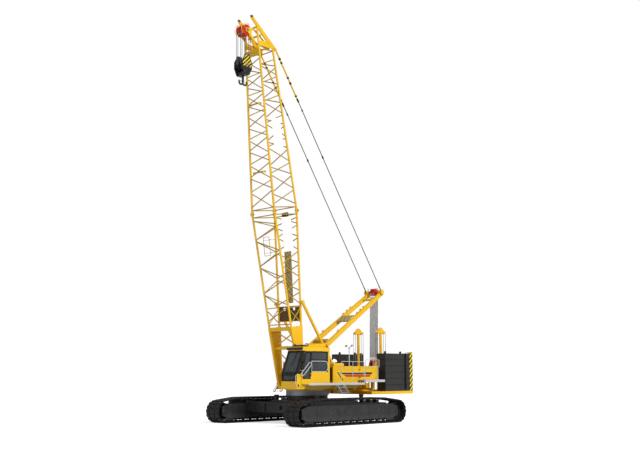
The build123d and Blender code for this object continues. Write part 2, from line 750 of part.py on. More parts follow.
def counterweight():
    tray = box(TRAY_REAR, TRAY_FRONT, -TRAY_HALF_WIDTH, TRAY_HALF_WIDTH, TRAY_BOTTOM, TRAY_TOP)
    save("counterweight_tray", tray)
    slabs = []
    for side in SIDES:
        y0, y1 = sorted((side * SLAB_INNER, side * SLAB_OUTER))
        for i in range(SLAB_COUNT):
            z0 = TRAY_TOP + CLEAR + i * SLAB_THICKNESS
            block = box(SLAB_REAR, SLAB_FRONT, y0, y1, z0, z0 + SLAB_THICKNESS - CLEAR)
            slabs.append(block.chamfer(SLAB_BEVEL, None, block.edges()))
    save("counterweight_slabs", *slabs)
    head = [
        (POST_X - POST_HEAD, POST_TOP - 140),
        (POST_X + POST_HEAD, POST_TOP - 140),
        (POST_X + POST_HEAD, POST_TOP - 70),
        (POST_X + 60, POST_TOP + 180),
        (POST_X - 60, POST_TOP + 180),
        (POST_X - POST_HEAD, POST_TOP - 70),
    ]
    posts = []
    for y in (-POST_Y, POST_Y):
        post = rod((POST_X, y, TRAY_TOP + CLEAR), (POST_X, y, POST_TOP), POST_RADIUS)
        posts.append(join(post, prism(head, y - 60, y + 60)))
    save("counterweight_posts", *posts)
    x, z = ANCHOR
    base = z - LUFF_SHEAVE - 60
    foot, leg_top = TRAY_TOP + 60, base - 400
    reach = ANCHOR_HALF_LENGTH
    pedestal = box(x - reach, x + reach, -ANCHOR_HALF_WIDTH, ANCHOR_HALF_WIDTH, TRAY_TOP + CLEAR, base)
    # Two tunnels through the pedestal leave it standing on four legs.
    leg = ANCHOR_LEG
    wide, clear_x, clear_y = ANCHOR_HALF_WIDTH + 1, reach - leg, ANCHOR_HALF_WIDTH - leg
    along = box(x - reach - 1, x + reach + 1, -clear_y, clear_y, foot, leg_top)
    across = box(x - clear_x, x + clear_x, -wide, wide, foot, leg_top)
    cheek = [(x - reach, base), (x + reach, base), (x + 120, z + 80), (x - 120, z + 80)]
    inner = ANCHOR_HALF_WIDTH - 25
    cheeks = [prism(cheek, side * inner, side * ANCHOR_HALF_WIDTH) for side in SIDES]
    save("rope_anchor", join(cut(pedestal, along, across), *cheeks))
    shift = BUNDLES[0] - ROPE_STEP + (LUFF_SHEAVES - 1) / 2 * LUFF_SHEAVE_PITCH
    save("anchor_sheaves", luffing_sheaves(x, z, inner, shift))


def sheave(radius, half, rope, x, y, z):
    """A disc with a flat-floored groove for a rope of the given radius."""
    floor = radius - SHEAVE_GROOVE
    f = rope + 1.5
    right = [(f, floor), (f + 3, radius), (half, radius), (half, 0)]
    profile = [(-across, r) for across, r in reversed(right)] + right
    return turned(profile, x, y, z)


def rope_reach(radius, rope):
    """How far from the sheave's axis a rope lies in the groove."""
    return radius - SHEAVE_GROOVE + rope + CLEAR


def luffing_sheaves(x, z, half_width, shift):
    """One shaft with sheaves side by side, in line with one strand of each bundle."""
    discs = []
    for i in range(LUFF_SHEAVES):
        y = (i - (LUFF_SHEAVES - 1) / 2) * LUFF_SHEAVE_PITCH + shift
        discs.append(sheave(LUFF_SHEAVE, LUFF_SHEAVE_PITCH / 2 - 2, ROPE_RADIUS, x, y, z))
    shaft = cross_rod(x, z, -half_width + CLEAR, half_width - CLEAR, LUFF_SHAFT)
    return join(shaft, *discs)


def drums():
    half = GIRDER_INNER - 5
    inner = half - DRUM_PLATE
    profile = [
        (-half, 0),
        (-half, DRUM_FLANGE),
        (-inner, DRUM_FLANGE),
        (-inner, DRUM_BARREL),
        (inner, DRUM_BARREL),
        (inner, DRUM_FLANGE),
        (half, DRUM_FLANGE),
        (half, 0),
    ]
    for name, x in DRUMS:
        shaft = cross_rod(x, DRUM_Z, -half - GIRDER_WIDTH, half + GIRDER_WIDTH, DRUM_SHAFT)
        save(name, join(turned(profile, x, 0, DRUM_Z), shaft))


# ---- Cab ------------------------------------------------------------------
def screen_x(z):
    """The front of the cab at a height: upright to the sill, then leaning back."""
    return CAB_FRONT - max(0, z - CAB_SILL) * CAB_LEAN / (CAB_EAVES - CAB_SILL)


def cab():
    w = CAB_WALL
    floor = CAB_FLOOR + CLEAR
    top_x = CAB_FRONT - CAB_LEAN
    outline = [
        (CAB_REAR, floor),
        (CAB_FRONT, floor),
        (CAB_FRONT, CAB_SILL),
        (top_x, CAB_EAVES),
        (CAB_REAR, CAB_EAVES),
    ]
    inside = [
        (CAB_REAR + w, CAB_FLOOR + w),
        (CAB_FRONT - w, CAB_FLOOR + w),
        (CAB_FRONT - w, CAB_SILL),
        (top_x - w, CAB_EAVES + 1),
        (CAB_REAR + w, CAB_EAVES + 1),
    ]
    shell = cut(prism(outline, CAB_INNER, CAB_OUTER), prism(inside, CAB_INNER + w, CAB_OUTER - w))
    d0, d1 = CAB_OUTER + DOOR_GAP, CAB_OUTER + DOOR_GAP + DOOR_THICKNESS
    rails = [
        box(CAB_REAR + 60, front + 30, CAB_OUTER - 10, d1, low, low + DOOR_RAIL)
        for front, low in (
            (DOOR_FRONT, DOOR_BOTTOM - CLEAR - DOOR_RAIL),
            (DOOR_TOP_FRONT, DOOR_TOP + CLEAR),
        )
    ]
    shell = join(shell, *rails)
    doorway = prism(door_outline(CAB_FLOOR + 90, WINDOW_TOP, 50), CAB_OUTER - w - 5, CAB_OUTER + 5)
    openings = [doorway] + [window(name, 0, w + 10) for name in WINDOWS]
    save("cab_shell", cut(shell, *openings))
    save("cab_windows", *[window(name, CLEAR, GLASS) for name in WINDOWS])
    roof = prism([
        (CAB_REAR, CAB_EAVES + CLEAR),
        (top_x + 60, CAB_EAVES + CLEAR),
        (top_x, CAB_ROOF),
        (CAB_REAR, CAB_ROOF),
    ], CAB_INNER, CAB_OUTER)
    save("cab_roof", roof)

    panel = prism(door_outline(DOOR_BOTTOM, DOOR_TOP, 0), d0, d1)
    low, high = DOOR_PANE
    save("cab_door", cut(panel, prism(door_outline(low, high, DOOR_FRAME), d0 - 5, d1 + 5)))
    y = (d0 + d1 - GLASS) / 2
    pane = door_outline(low + CLEAR, high - CLEAR, DOOR_FRAME + CLEAR)
    save("cab_door_glass", prism(pane, y, y + GLASS))

    y = (CAB_INNER + CAB_OUTER) / 2
    base = CAB_FLOOR + CAB_WALL + CLEAR
    pedestal = box(1050, 1400, y - 180, y + 180, base, base + 330)
    cushion = box(980, 1500, y - 250, y + 250, base + 330, base + 450)
    back = prism([
        (900, base + 400),
        (1030, base + 400),
        (930, base + 1100),
        (830, base + 1100),
    ], y - 240, y + 240)
    save("operator_seat", join(pedestal, cushion, back))
    save("cab_consoles", *[
        box(1150, 1620, y + s * 400 - 75, y + s * 400 + 75, base, base + 620)
        for s in SIDES
    ])


def door_outline(low, high, inset):
    """The door's outline between two heights, set in at its front and rear edges."""
    rear, front = DOOR_REAR + inset, DOOR_FRONT - inset
    lean = (DOOR_FRONT - DOOR_TOP_FRONT) / (DOOR_TOP - CAB_SILL)
    return [
        (rear, low),
        (front, low),
        (front, CAB_SILL),
        (front - lean * (high - CAB_SILL), high),
        (rear, high),
    ]


def window(name, gap, thickness):
    """The shape of one window, smaller all round by a gap: thin for a pane, thick for its opening."""
    low, high = WINDOW_BOTTOM + gap, WINDOW_TOP - gap
    inner, outer = CAB_INNER + WINDOW_EDGE + gap, CAB_OUTER - WINDOW_EDGE - gap
    back = (CAB_WALL + thickness) / 2           # outside of the wall to the inside of the shape
    rear = CAB_REAR + SIDE_WINDOW_REAR + gap
    if name == "windscreen":
        return prism([
            (screen_x(low) - back, low),
            (screen_x(low) - back + thickness, low),
            (screen_x(high) - back + thickness, high),
            (screen_x(high) - back, high),
        ], inner, outer)
    if name == "lower screen":
        x = CAB_FRONT - back
        low, high = LOWER_SCREEN
        return box(x, x + thickness, inner, outer, low + gap, high - gap)
    if name == "rear":
        x = CAB_REAR + back - thickness
        return box(x, x + thickness, inner + 40, outer - 40, low + 40, high)
    if name == "right":
        y = CAB_INNER + back - thickness
        return prism([
            (rear, low),
            (screen_x(low) - SIDE_WINDOW_FRONT - gap, low),
            (screen_x(high) - SIDE_WINDOW_FRONT - gap, high),
            (rear, high),
        ], y, y + thickness)
    y = CAB_OUTER - back
    low, high = SIDE_PANES[0 if name == "left lower" else 1]
    return box(rear, DOOR_REAR - 60 - gap, y, y + thickness, low + gap, high - gap)


# ---- Boom -----------------------------------------------------------------
def half_width(s):
    if s < JOINT_S:
        return FOOT_HALF_WIDTH + (JOINT_HALF_WIDTH - FOOT_HALF_WIDTH) * s / JOINT_S
    return JOINT_HALF_WIDTH + (TOP_HALF_WIDTH - JOINT_HALF_WIDTH) * (s - JOINT_S) / (TOP_S - JOINT_S)


def half_depth(s):
    if s < JOINT_S:
        return FOOT_HALF_DEPTH + (JOINT_HALF_DEPTH - FOOT_HALF_DEPTH) * s / JOINT_S
    return JOINT_HALF_DEPTH + (TOP_HALF_DEPTH - JOINT_HALF_DEPTH) * (s - JOINT_S) / (TOP_S - JOINT_S)


def corner(face, side, s):
    """A chord's centre: face 1 is the front, side 1 the left, s is along the boom."""
    return Vector(face * half_depth(s), side * half_width(s), s)


def lacing(start, start_chord, end, end_chord, radius=LACE):
    """A tube between two chords that stops just short of each."""
    run = (end - start).normalized()
    ends = []
    for point, chord, way in ((start, start_chord, run), (end, end_chord, run * -1)):
        along = abs(way.dot(chord))
        across = math.sqrt(1 - along * along)
        ends.append(point + way * ((CHORD + CLEAR + radius * along) / across))
    return rod(ends[0], ends[1], radius)


def chord_way(face, side, s0, s1):
    return (corner(face, side, s1) - corner(face, side, s0)).normalized()


def tube(first, low, second, high):
    """A lacing tube from one chord, at a height along the boom, to another."""
    s0, s1 = (LEG_LENGTH, JOINT_S) if low < JOINT_S else (JOINT_S, TOP_S)
    way_a, way_b = chord_way(*first, s0, s1), chord_way(*second, s0, s1)
    return lacing(corner(*first, low), way_a, corner(*second, high), way_b)


def face_lacing(nodes, cross, first, second):
    """Cross tubes, and diagonals that zigzag up between two chords from the first."""
    tubes = [tube(first, s, second, s) for s in cross]
    ends = (first, second)
    for i, (low, high) in enumerate(zip(nodes, nodes[1:])):
        a, b = ends[i % 2], ends[1 - i % 2]
        tubes.append(tube(a, low + NODE_GAP, b, high - NODE_GAP))
    return tubes


def lower_lacing():
    tubes = []
    for side in SIDES:
        tubes += face_lacing(LOWER_NODES, LOWER_CROSS["side"], (-1, side), (1, side))
        low, high = SIDE_X
        tubes.append(join(*[tube((face, side), low, (-face, side), high) for face in SIDES]))
    front_nodes = (FRONT_FIRST_NODE, *LOWER_NODES)
    tubes += face_lacing(front_nodes, LOWER_CROSS["front"], (1, -1), (1, 1))
    tubes += face_lacing(LOWER_NODES, LOWER_CROSS["rear"], (-1, -1), (-1, 1))
    return tubes


def upper_lacing():
    tubes = []
    for side in SIDES:
        tubes += face_lacing(UPPER_NODES, UPPER_CROSS["side"], (side, side), (-side, side))
    tubes += face_lacing(UPPER_NODES, UPPER_CROSS["front"], (1, -1), (1, 1))
    tubes += face_lacing(UPPER_NODES, UPPER_CROSS["rear"], (-1, 1), (-1, -1))
    return tubes


def chord(face, side, s0, s1, low_sleeve, high_sleeve):
    """A chord tube, its ends cut square to the boom."""
    way = chord_way(face, side, s0, s1)
    spare = way * SLEEVE
    start, end = corner(face, side, s0), corner(face, side, s1)
    parts = [rod(start - spare, end + spare, CHORD)]
    if low_sleeve:
        parts.append(rod(start - spare, start + way * SLEEVE_LENGTH, SLEEVE))
    if high_sleeve:
        parts.append(rod(end - way * SLEEVE_LENGTH, end + spare, SLEEVE))
    ends = [box(-2000, 2000, -2000, 2000, z0, z1) for z0, z1 in ((s0 - 400, s0), (s1, s1 + 400))]
    return cut(join(*parts), *ends)


def boom():
    where = slanted(BOOM_FOOT, BOOM_ANGLE)
    gap = CLEAR / 2
    lower = [
        chord(face, side, LEG_LENGTH + CLEAR, JOINT_S - gap, False, True)
        for face in (1, -1) for side in SIDES
    ]
    upper = [
        chord(face, side, JOINT_S + gap, end, True, False)
        for face, end in ((-1, TOP_S), (1, FRONT_TOP_S)) for side in SIDES
    ]
    nodes = {
        "boom_foot": [boom_foot()],
        "boom_lower_chords": lower,
        "boom_upper_chords": upper,
        "boom_lower_lacing": lower_lacing(),
        "boom_upper_lacing": upper_lacing(),
        "boom_head": [boom_head()],
        "boom_point_sheaves": [point_sheaves()],
        "boom_catwalk": [rear_board(*CATWALK)],
        "boom_sign_boards": [rear_board(*board) for board in SIGN_BOARDS],
        "boom_plates": boom_plates(),
    }
    for name, solids in nodes.items():
        save(name, *[solid.moved(where) for solid in solids])
    save("backstops", *[backstop(where, side) for side in SIDES])


def boom_foot():
    top_half = half_depth(LEG_LENGTH) + CHORD
    outline = [(-FOOT_RADIUS, 0), (FOOT_RADIUS, 0), (top_half, LEG_LENGTH), (-top_half, LEG_LENGTH)]
    reach = FOOT_HALF_WIDTH - LEG_THICKNESS / 2
    parts = []
    for side in SIDES:
        y0, y1 = side * reach, side * (reach + LEG_THICKNESS)
        parts.append(prism(outline, y0, y1))
        parts.append(cross_rod(0, 0, y0, y1, FOOT_RADIUS))
    for half, s0, s1 in LEG_TIES:
        parts.append(box(-half, half, -reach, reach, s0, s1))
    for s0, s1 in LEG_BRACES:
        parts += [rod((0, -side * reach, s0), (0, side * reach, s1), LEG_BRACE) for side in SIDES]
    return cut(join(*parts), cross_rod(0, 0, -1200, 1200, FOOT_PIN + FIT))


def boom_head():
    """Side plates that hold the sheave axle, and arms up to the jib pins."""
    axle_d, axle_s = HEAD_AXLE
    tip_d, tip_s = ARM_TIP
    half = HEAD_SHEAVES * HEAD_SHEAVE_PITCH / 2
    wide = TOP_HALF_WIDTH
    root = -TOP_HALF_DEPTH + 60
    cheek = [
        (root, TOP_S - 60),
        (root, TOP_S + 120),
        (600, axle_s + 160),
        (axle_d + 90, axle_s + 100),
        (axle_d + 110, axle_s - 80),
        (axle_d - 20, axle_s - 130),
        (560, TOP_S + 150),
    ]
    opening = [
        (-130, TOP_S + 95),
        (440, TOP_S + 215),
        (760, axle_s - 250),
        (760, axle_s - 20),
        (560, axle_s + 20),
        (-130, TOP_S + 290),
    ]
    lug_d = PENDANT_D - 60
    arm = [
        (lug_d, PENDANT_S - 60),
        (lug_d + 65, PENDANT_S - 60),
        (lug_d + 65, TOP_S + CLEAR),
        (root + 50, TOP_S + CLEAR),
        (tip_d + 60, tip_s - 60),
        (tip_d + 60, tip_s + 60),
        (tip_d - 60, tip_s + 60),
        (lug_d, TOP_S + 60),
    ]
    chord_edge = [(half_depth(s) - CHORD - CLEAR, s) for s in (TOP_S + 60, TOP_S + 320)]
    gusset = [
        (root, TOP_S + CLEAR),
        (root + 300, TOP_S + CLEAR),
        *chord_edge,
        (root + 300, TOP_S + 340),
    ]
    parts = []
    for side in SIDES:
        y0, y1 = side * (half + 10), side * (half + 50)
        parts.append(cut(prism(cheek, y0, y1), prism(opening, y0, y1)))
        parts.append(prism(arm, side * (wide - 50), side * (wide + 20)))
        parts.append(prism(gusset, side * (wide - 30), side * (wide + 10)))
        parts.append(cross_rod(PENDANT_D, PENDANT_S, side * wide, side * (PENDANT_Y + 35), PENDANT_PIN))
        top = corner(1, side, FRONT_TOP_S)
        parts.append(rod((top.X, top.Y, FRONT_TOP_S + CLEAR), (top.X, top.Y, FRONT_TOP_S + 230), CHORD))
    parts += [cross_rod(d, s, -wide, wide, 50) for d, s in HEAD_TIES]
    parts.append(cross_rod(axle_d, axle_s, -half - 45, half + 45, HEAD_PIN))
    return cut(join(*parts), cross_rod(tip_d, tip_s, -wide - 60, wide + 60, ARM_BORE))


def point_sheaves():
    axle_d, axle_s = HEAD_AXLE
    half = HEAD_SHEAVES * HEAD_SHEAVE_PITCH / 2
    discs = [
        sheave(HEAD_SHEAVE, HEAD_SHEAVE_PITCH / 2 - 12, FALL_RADIUS, axle_d, y, axle_s)
        for y in head_sheave_places()
    ]
    hub = cross_rod(axle_d, axle_s, -half + 2, half - 2, 2 * HEAD_PIN)
    return cut(join(hub, *discs), cross_rod(axle_d, axle_s, -half - 5, half + 5, HEAD_PIN + FIT))


def rear_board(s0, s1, width, thickness):
    """A board on the rear face of the boom, just clear of the lacing."""
    d0, d1 = [-half_depth(s) - LACE - CLEAR for s in (s0, s1)]
    return prism([(d0 - thickness, s0), (d0, s0), (d1, s1), (d1 - thickness, s1)], -width / 2, width / 2)


def face_plate(face, s0, s1):
    """A plate across the boom between two chords, in line with their centres."""
    reach = min(half_width(s0), half_width(s1)) if s0 > JOINT_S else half_width(s0)
    reach -= CHORD + CLEAR
    d0, d1 = face * half_depth(s0), face * half_depth(s1)
    half = PLATE_THICKNESS / 2
    return prism([(d0 - half, s0), (d0 + half, s0), (d1 + half, s1), (d1 - half, s1)], -reach, reach)


def boom_plates():
    s = REAR_PLATE[1] - PLATE_HOLE_DROP
    ways = [Plane(origin=(-900, y, s), z_dir=(1, 0, 0)) for y in (-PLATE_HOLE_Y, PLATE_HOLE_Y)]
    holes = [Solid.make_cylinder(PLATE_HOLE, 600, way) for way in ways]
    return [cut(face_plate(-1, *REAR_PLATE), *holes), face_plate(1, *FRONT_PLATE)]


def backstop(where, side):
    """A strut from a rear chord down to its seat on the frame."""
    y = side * BACKSTOP_Y
    top = place(where, (-half_depth(BACKSTOP_S), y, BACKSTOP_S))
    tube = rod(top, (SEAT_X, y, SEAT_TOP + 60), BACKSTOP_RADIUS)
    pad = rod((SEAT_X, y, SEAT_TOP + CLEAR), (SEAT_X, y, SEAT_TOP + 70), BACKSTOP_RADIUS)
    inner = side * (half_width(BACKSTOP_S + 95) + CHORD + CLEAR)
    return join(tube, pad, cross_rod(top.X, top.Z, inner, side * (BACKSTOP_Y + 80), 95))


# ---- Hook -----------------------------------------------------------------
def head_sheave_places():
    return [(i - (HEAD_SHEAVES - 1) / 2) * HEAD_SHEAVE_PITCH for i in range(HEAD_SHEAVES)]


def hook_tackle():
    where = slanted(BOOM_FOOT, BOOM_ANGLE)
    axle = place(where, (HEAD_AXLE[0], 0, HEAD_AXLE[1]))
    x, z = axle.X, axle.Z
    block_z = z - BLOCK_DROP
    # The block's sheaves hang in line with the head's, which has one more in the middle.
    places = [y for y in head_sheave_places() if y != 0]
    reach = rope_reach(HEAD_SHEAVE, FALL_RADIUS)
    low_reach = rope_reach(BLOCK_SHEAVE, FALL_RADIUS)
    lean = math.asin((reach - low_reach) / BLOCK_DROP)
    across, drop = math.cos(lean), math.sin(-lean)
    falls = [
        rod((x + s * reach * across, y, z + reach * drop),
            (x + s * low_reach * across, y, block_z + low_reach * drop), FALL_RADIUS)
        for y in places for s in SIDES
    ]
    save("hook_falls", *falls)
    save("hook_block", hook_block(x, block_z, places))
    save("hook", hook(x, z - HOOK_DROP - 120, block_z))


def hook_block(x, z, places):
    half = BLOCK_HALF_WIDTH
    right = [(160, -560), (340, -200), (340, 150), (130, 560)]
    outline = right + [(-dx, dz) for dx, dz in reversed(right)]
    cheek = [(x + dx, z + dz) for dx, dz in outline]
    parts = [prism(cheek, side * half, side * (half - 40)) for side in SIDES]
    parts += [
        sheave(BLOCK_SHEAVE, HEAD_SHEAVE_PITCH / 2 - 12, FALL_RADIUS, x, y, z)
        for y in places
    ]
    parts.append(cross_rod(x, z, -half, half, 60))
    crosshead = box(x - 130, x + 130, -half, half, z - 560, z - CROSSHEAD_TOP)
    bore = rod((x, 0, z - 600), (x, 0, z - 380), SHANK + FIT)
    return cut(join(crosshead, *parts), bore)


def hook(x, z, block_z):
    """A double hook whose two bowls have their centres at the height z."""
    nut_bottom = block_z - CROSSHEAD_TOP + CLEAR
    shank = rod((x, 0, z), (x, 0, nut_bottom + 10), SHANK)
    nut = rod((x, 0, nut_bottom), (x, 0, nut_bottom + 60), 100)
    bowls = []
    for side in SIDES:
        centre = x + side * BOWL
        ring = Solid.make_torus(BOWL, PRONG, Plane(origin=(centre, 0, z), z_dir=(0, 1, 0)))
        lower_half = box(centre - 190, centre + 190, -60, 60, z - 200, z)
        bowls += ring.intersect(lower_half).solids()
        tip = Plane(origin=(centre + side * BOWL, 0, z), z_dir=(0, 0, 1))
        bowls.append(Solid.make_cone(PRONG, 26, 90, tip))
    return join(shank, nut, *bowls)


# ---- Mast -----------------------------------------------------------------
MAST_LENGTH = math.dist(MAST_FOOT, MAST_HEAD)
MAST_ANGLE = math.degrees(math.atan2(MAST_HEAD[1] - MAST_FOOT[1], MAST_HEAD[0] - MAST_FOOT[0]))


def mast_half_spacing(s):
    return MAST_FOOT_Y + (MAST_HEAD_Y - MAST_FOOT_Y) * s / MAST_LENGTH


def mast():
    where = slanted(MAST_FOOT, MAST_ANGLE)
    middle = -MAST_BEAM_DROP
    top, bottom = middle + MAST_BEAM_DEPTH / 2, middle - MAST_BEAM_DEPTH / 2
    w, end_w = MAST_BEAM_WIDTH / 2, MAST_END_WIDTH / 2
    end = MAST_LENGTH + 150
    knee = [(-100, 0), (100, 0), (100, 250), (top, MAST_KNEE), (bottom, MAST_KNEE)]
    parts = []
    for side in SIDES:
        foot_y, head_y = side * MAST_FOOT_Y, side * MAST_HEAD_Y
        parts.append(prism(knee, foot_y - w, foot_y + w))
        parts.append(cross_rod(0, 0, foot_y - w, foot_y + w, 100))
        beam = [
            (foot_y - w, MAST_KNEE - 100),
            (foot_y + w, MAST_KNEE - 100),
            (head_y + end_w, end),
            (head_y - end_w, end),
        ]
        wire = Wire.make_polygon([(bottom, y, s) for y, s in beam], close=True)
        parts.append(Solid.extrude(Face(wire), Vector(top - bottom, 0, 0)))
        parts.append(cross_rod(0, MAST_LENGTH, head_y - end_w, head_y + end_w, 100))
    for s, radius in MAST_CROSS_TUBES:
        reach = mast_half_spacing(s)
        parts.append(cross_rod(middle, s, -reach, reach, radius))
    bores = [
        cross_rod(0, 0, -900, 900, MAST_PIN + FIT),
        cross_rod(0, MAST_LENGTH, -900, 900, LUFF_SHAFT + FIT),
    ]
    save("mast", cut(join(*parts), *bores).moved(where))
    shift = BUNDLES[-1] + ROPE_STEP - (LUFF_SHEAVES - 1) / 2 * LUFF_SHEAVE_PITCH
    sheaves = luffing_sheaves(0, MAST_LENGTH, MAST_HEAD_Y + end_w, shift)
    save("mast_head_sheaves", sheaves.moved(where))


def pendants():
    boom_frame = slanted(BOOM_FOOT, BOOM_ANGLE)
    top = place(boom_frame, (PENDANT_D, 0, PENDANT_S))
    end = Vector(MAST_HEAD[0], 0, MAST_HEAD[1])
    run = (end - top).normalized()
    length = (end - top).length
    socket_end = length - 40
    bars, ropes = [], []
    for side in SIDES:
        y = side * PENDANT_Y
        start = top + Vector(0, y, 0)
        eye = cross_rod(top.X, top.Z, y - 30, y + 30, 75)
        bar = join(eye, rod(start, start + run * PENDANT_BAR_END, PENDANT_BAR))
        bars.append(cut(bar, cross_rod(top.X, top.Z, -800, 800, PENDANT_PIN + FIT)))
        eye = cross_rod(end.X, end.Z, y - 30, y + 30, 80)
        rope = rod(start + run * (PENDANT_BAR_END + CLEAR), start + run * socket_end, PENDANT_ROPE)
        socket = rod(start + run * (socket_end - SOCKET_LENGTH), start + run * socket_end, PENDANT_SOCKET)
        ropes.append(cut(join(rope, socket, eye), cross_rod(end.X, end.Z, -800, 800, LUFF_SHAFT)))
    save("pendant_bars", *bars)
    save("pendant_ropes", *ropes)


def luffing_ropes():
    """Three groups of strands, side by side, that slide past each other as the mast moves."""
    anchor = Vector(ANCHOR[0], 0, ANCHOR[1])
    head = Vector(MAST_HEAD[0], 0, MAST_HEAD[1])
    span = (head - anchor).length
    where = slanted(ANCHOR, math.degrees(math.atan2(head.Z - anchor.Z, head.X - anchor.X)))
    offset = rope_reach(LUFF_SHEAVE, ROPE_RADIUS)
    groups = (
        ("lower", -1, 0, span - 300),      # name, place in a bundle, lower end, upper end
        ("middle", 0, 120, span - 280),
        ("upper", 1, 300, span),
    )
    for name, step, s0, s1 in groups:
        strands = []
        for bundle in BUNDLES:
            y = bundle + step * ROPE_STEP
            strands += [rod((side * offset, y, s0), (side * offset, y, s1), ROPE_RADIUS) for side in SIDES]
        save(f"luffing_ropes_{name}", *[strand.moved(where) for strand in strands])


undercarriage()
save("main_frame", main_frame())
decks()
for side, name in zip(SIDES, ("hydraulics_house", "engine_house")):
    walls, door = house(side)
    save(name, walls)
    save(name + "_door", door)
save("engine_block", box(*ENGINE_X, HOUSE_INNER + 90, HOUSE_OUTER - 90, *ENGINE_Z))
counterweight()
drums()
cab()
boom()
hook_tackle()
mast()
pendants()
luffing_ropes()
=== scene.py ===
# %% [markdown]
# # Crawler crane
# A crawler crane stands on two steel tracks. Its upper structure turns on a slewing ring and
# carries the cab, the engine, the winches and the counterweight, and the lattice boom leans
# from its front edge. The parts that carry load come from the CAD model, which is the fixed
# frame here. Blender adds what the frame leaves out: the finishes, the shoes of the tracks,
# the trim of the cab, the rails, lamps, chains, bolts and ropes.

# %% Load the frame
import bpy
import bmesh
import json
import math
from mathutils import Matrix, Vector


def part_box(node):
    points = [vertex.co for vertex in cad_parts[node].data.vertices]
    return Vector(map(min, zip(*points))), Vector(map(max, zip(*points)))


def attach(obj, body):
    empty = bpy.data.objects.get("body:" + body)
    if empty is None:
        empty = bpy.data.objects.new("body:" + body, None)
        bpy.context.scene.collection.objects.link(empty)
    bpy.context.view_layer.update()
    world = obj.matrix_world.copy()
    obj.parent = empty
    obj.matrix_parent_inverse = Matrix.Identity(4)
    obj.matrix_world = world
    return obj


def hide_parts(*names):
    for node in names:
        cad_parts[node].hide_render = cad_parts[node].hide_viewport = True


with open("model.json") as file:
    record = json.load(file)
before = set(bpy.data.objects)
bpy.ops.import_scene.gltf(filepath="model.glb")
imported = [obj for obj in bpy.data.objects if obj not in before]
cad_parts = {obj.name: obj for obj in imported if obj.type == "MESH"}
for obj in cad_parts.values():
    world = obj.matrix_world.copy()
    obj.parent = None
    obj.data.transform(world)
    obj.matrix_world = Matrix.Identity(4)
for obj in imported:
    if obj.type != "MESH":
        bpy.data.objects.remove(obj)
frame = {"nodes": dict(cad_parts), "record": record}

nodes = frame["nodes"]
slots = {part["node"]: part["material_slot"] for part in frame["record"]["subparts"]}
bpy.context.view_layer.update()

# %% [markdown]
# ## Camera
# The crane is seen from its front left corner, from a little above head height, with the lens
# aimed up the boom. A camera looks along its own -Z, so the direction of sight is turned into
# a rotation with `to_track_quat`. That keeps the verticals of the picture upright.

# %% Camera
EYE = (35.744, 35.144, 2.584)
SIGHT = Vector((-0.71341, -0.68272, 0.15793))
LENS, SENSOR = 51.83, 36      # mm


def link(name, data):
    """A new object in the scene."""
    made = bpy.data.objects.new(name, data)
    bpy.context.scene.collection.objects.link(made)
    return made


camera_data = bpy.data.cameras.new("camera")
camera_data.lens, camera_data.sensor_width, camera_data.clip_end = LENS, SENSOR, 500
camera = link("camera", camera_data)
camera.location = EYE
camera.rotation_euler = SIGHT.to_track_quat("-Z", "Y").to_euler()
bpy.context.scene.camera = camera
print("camera", EYE, "lens", LENS)

# %% [markdown]
# ## Shader nodes in code
# A material is a small graph. One small function adds a node with its settings and its links,
# so each material reads as a list of steps. Colours are written as the hex values that a paint
# chart gives, which are sRGB, and are turned to the linear values that a shader works in.

# %% Helpers for materials
def linear(hex_colour):
    """An sRGB hex colour as linear red, green, blue and alpha."""
    channels = [int(hex_colour[i:i + 2], 16) / 255 for i in (1, 3, 5)]
    return [c / 12.92 if c <= 0.04045 else ((c + 0.055) / 1.055) ** 2.4 for c in channels] + [1.0]


def fill(tree, node, settings):
    """Fills attributes and inputs, by name or number. A socket is linked, other values are set."""
    for key, value in settings.items():
        if isinstance(value, bpy.types.NodeSocket):
            tree.links.new(value, node.inputs[key])
        elif isinstance(key, int) or key in node.inputs:
            node.inputs[key].default_value = value
        else:
            setattr(node, key, value)


def add(tree, kind, settings=None, out=0):
    """Adds a shader node with its settings and links. Gives one of its outputs, or the node."""
    node = tree.nodes.new("ShaderNode" + kind)
    fill(tree, node, settings or {})
    return node if out is None else node.outputs[out]


def per_metre(size_mm):
    """The texture scale at which one feature is this many millimetres wide."""
    return 1000 / size_mm


def empty_tree(holder):
    """The cleared node tree of a new material or world."""
    holder.use_nodes = True
    holder.node_tree.nodes.clear()
    return holder.node_tree


def start_material(name):
    """A new material with a Principled shader, and its object coordinates."""
    material = bpy.data.materials.new(name)
    tree = empty_tree(material)
    shader = add(tree, "BsdfPrincipled", out=None)
    add(tree, "OutputMaterial", {"Surface": shader.outputs[0]}, None)
    return material, tree, shader, add(tree, "TexCoord", out="Object")


def patches(tree, where, size_mm, detail, low, high, to_low=0.0, to_high=1.0):
    """Cloudy patches of a real size, the values between low and high stretched over a range."""
    cloud = add(tree, "TexNoise", {"Scale": per_metre(size_mm), "Detail": detail, "Vector": where})
    return add(tree, "MapRange", {"Value": cloud, "From Min": low, "From Max": high,
                                  "To Min": to_low, "To Max": to_high})


def layered(tree, base, *layers):
    """A hex colour with others laid over it. Each layer is a share and a hex colour."""
    colour = linear(base)
    for share, over in layers:
        colour = add(tree, "Mix", {"data_type": "RGBA", "Factor": share, 6: colour, 7: linear(over)}, 2)
    return colour


def surface(tree, shader, settings, height, depth_mm):
    """Fills the shader, and raises and sinks the surface by a pattern without moving the mesh."""
    relief = {"Strength": 1.0, "Distance": depth_mm / 1000, "Height": height}
    fill(tree, shader, settings | {"Normal": add(tree, "Bump", relief)})


print("material helpers ready")

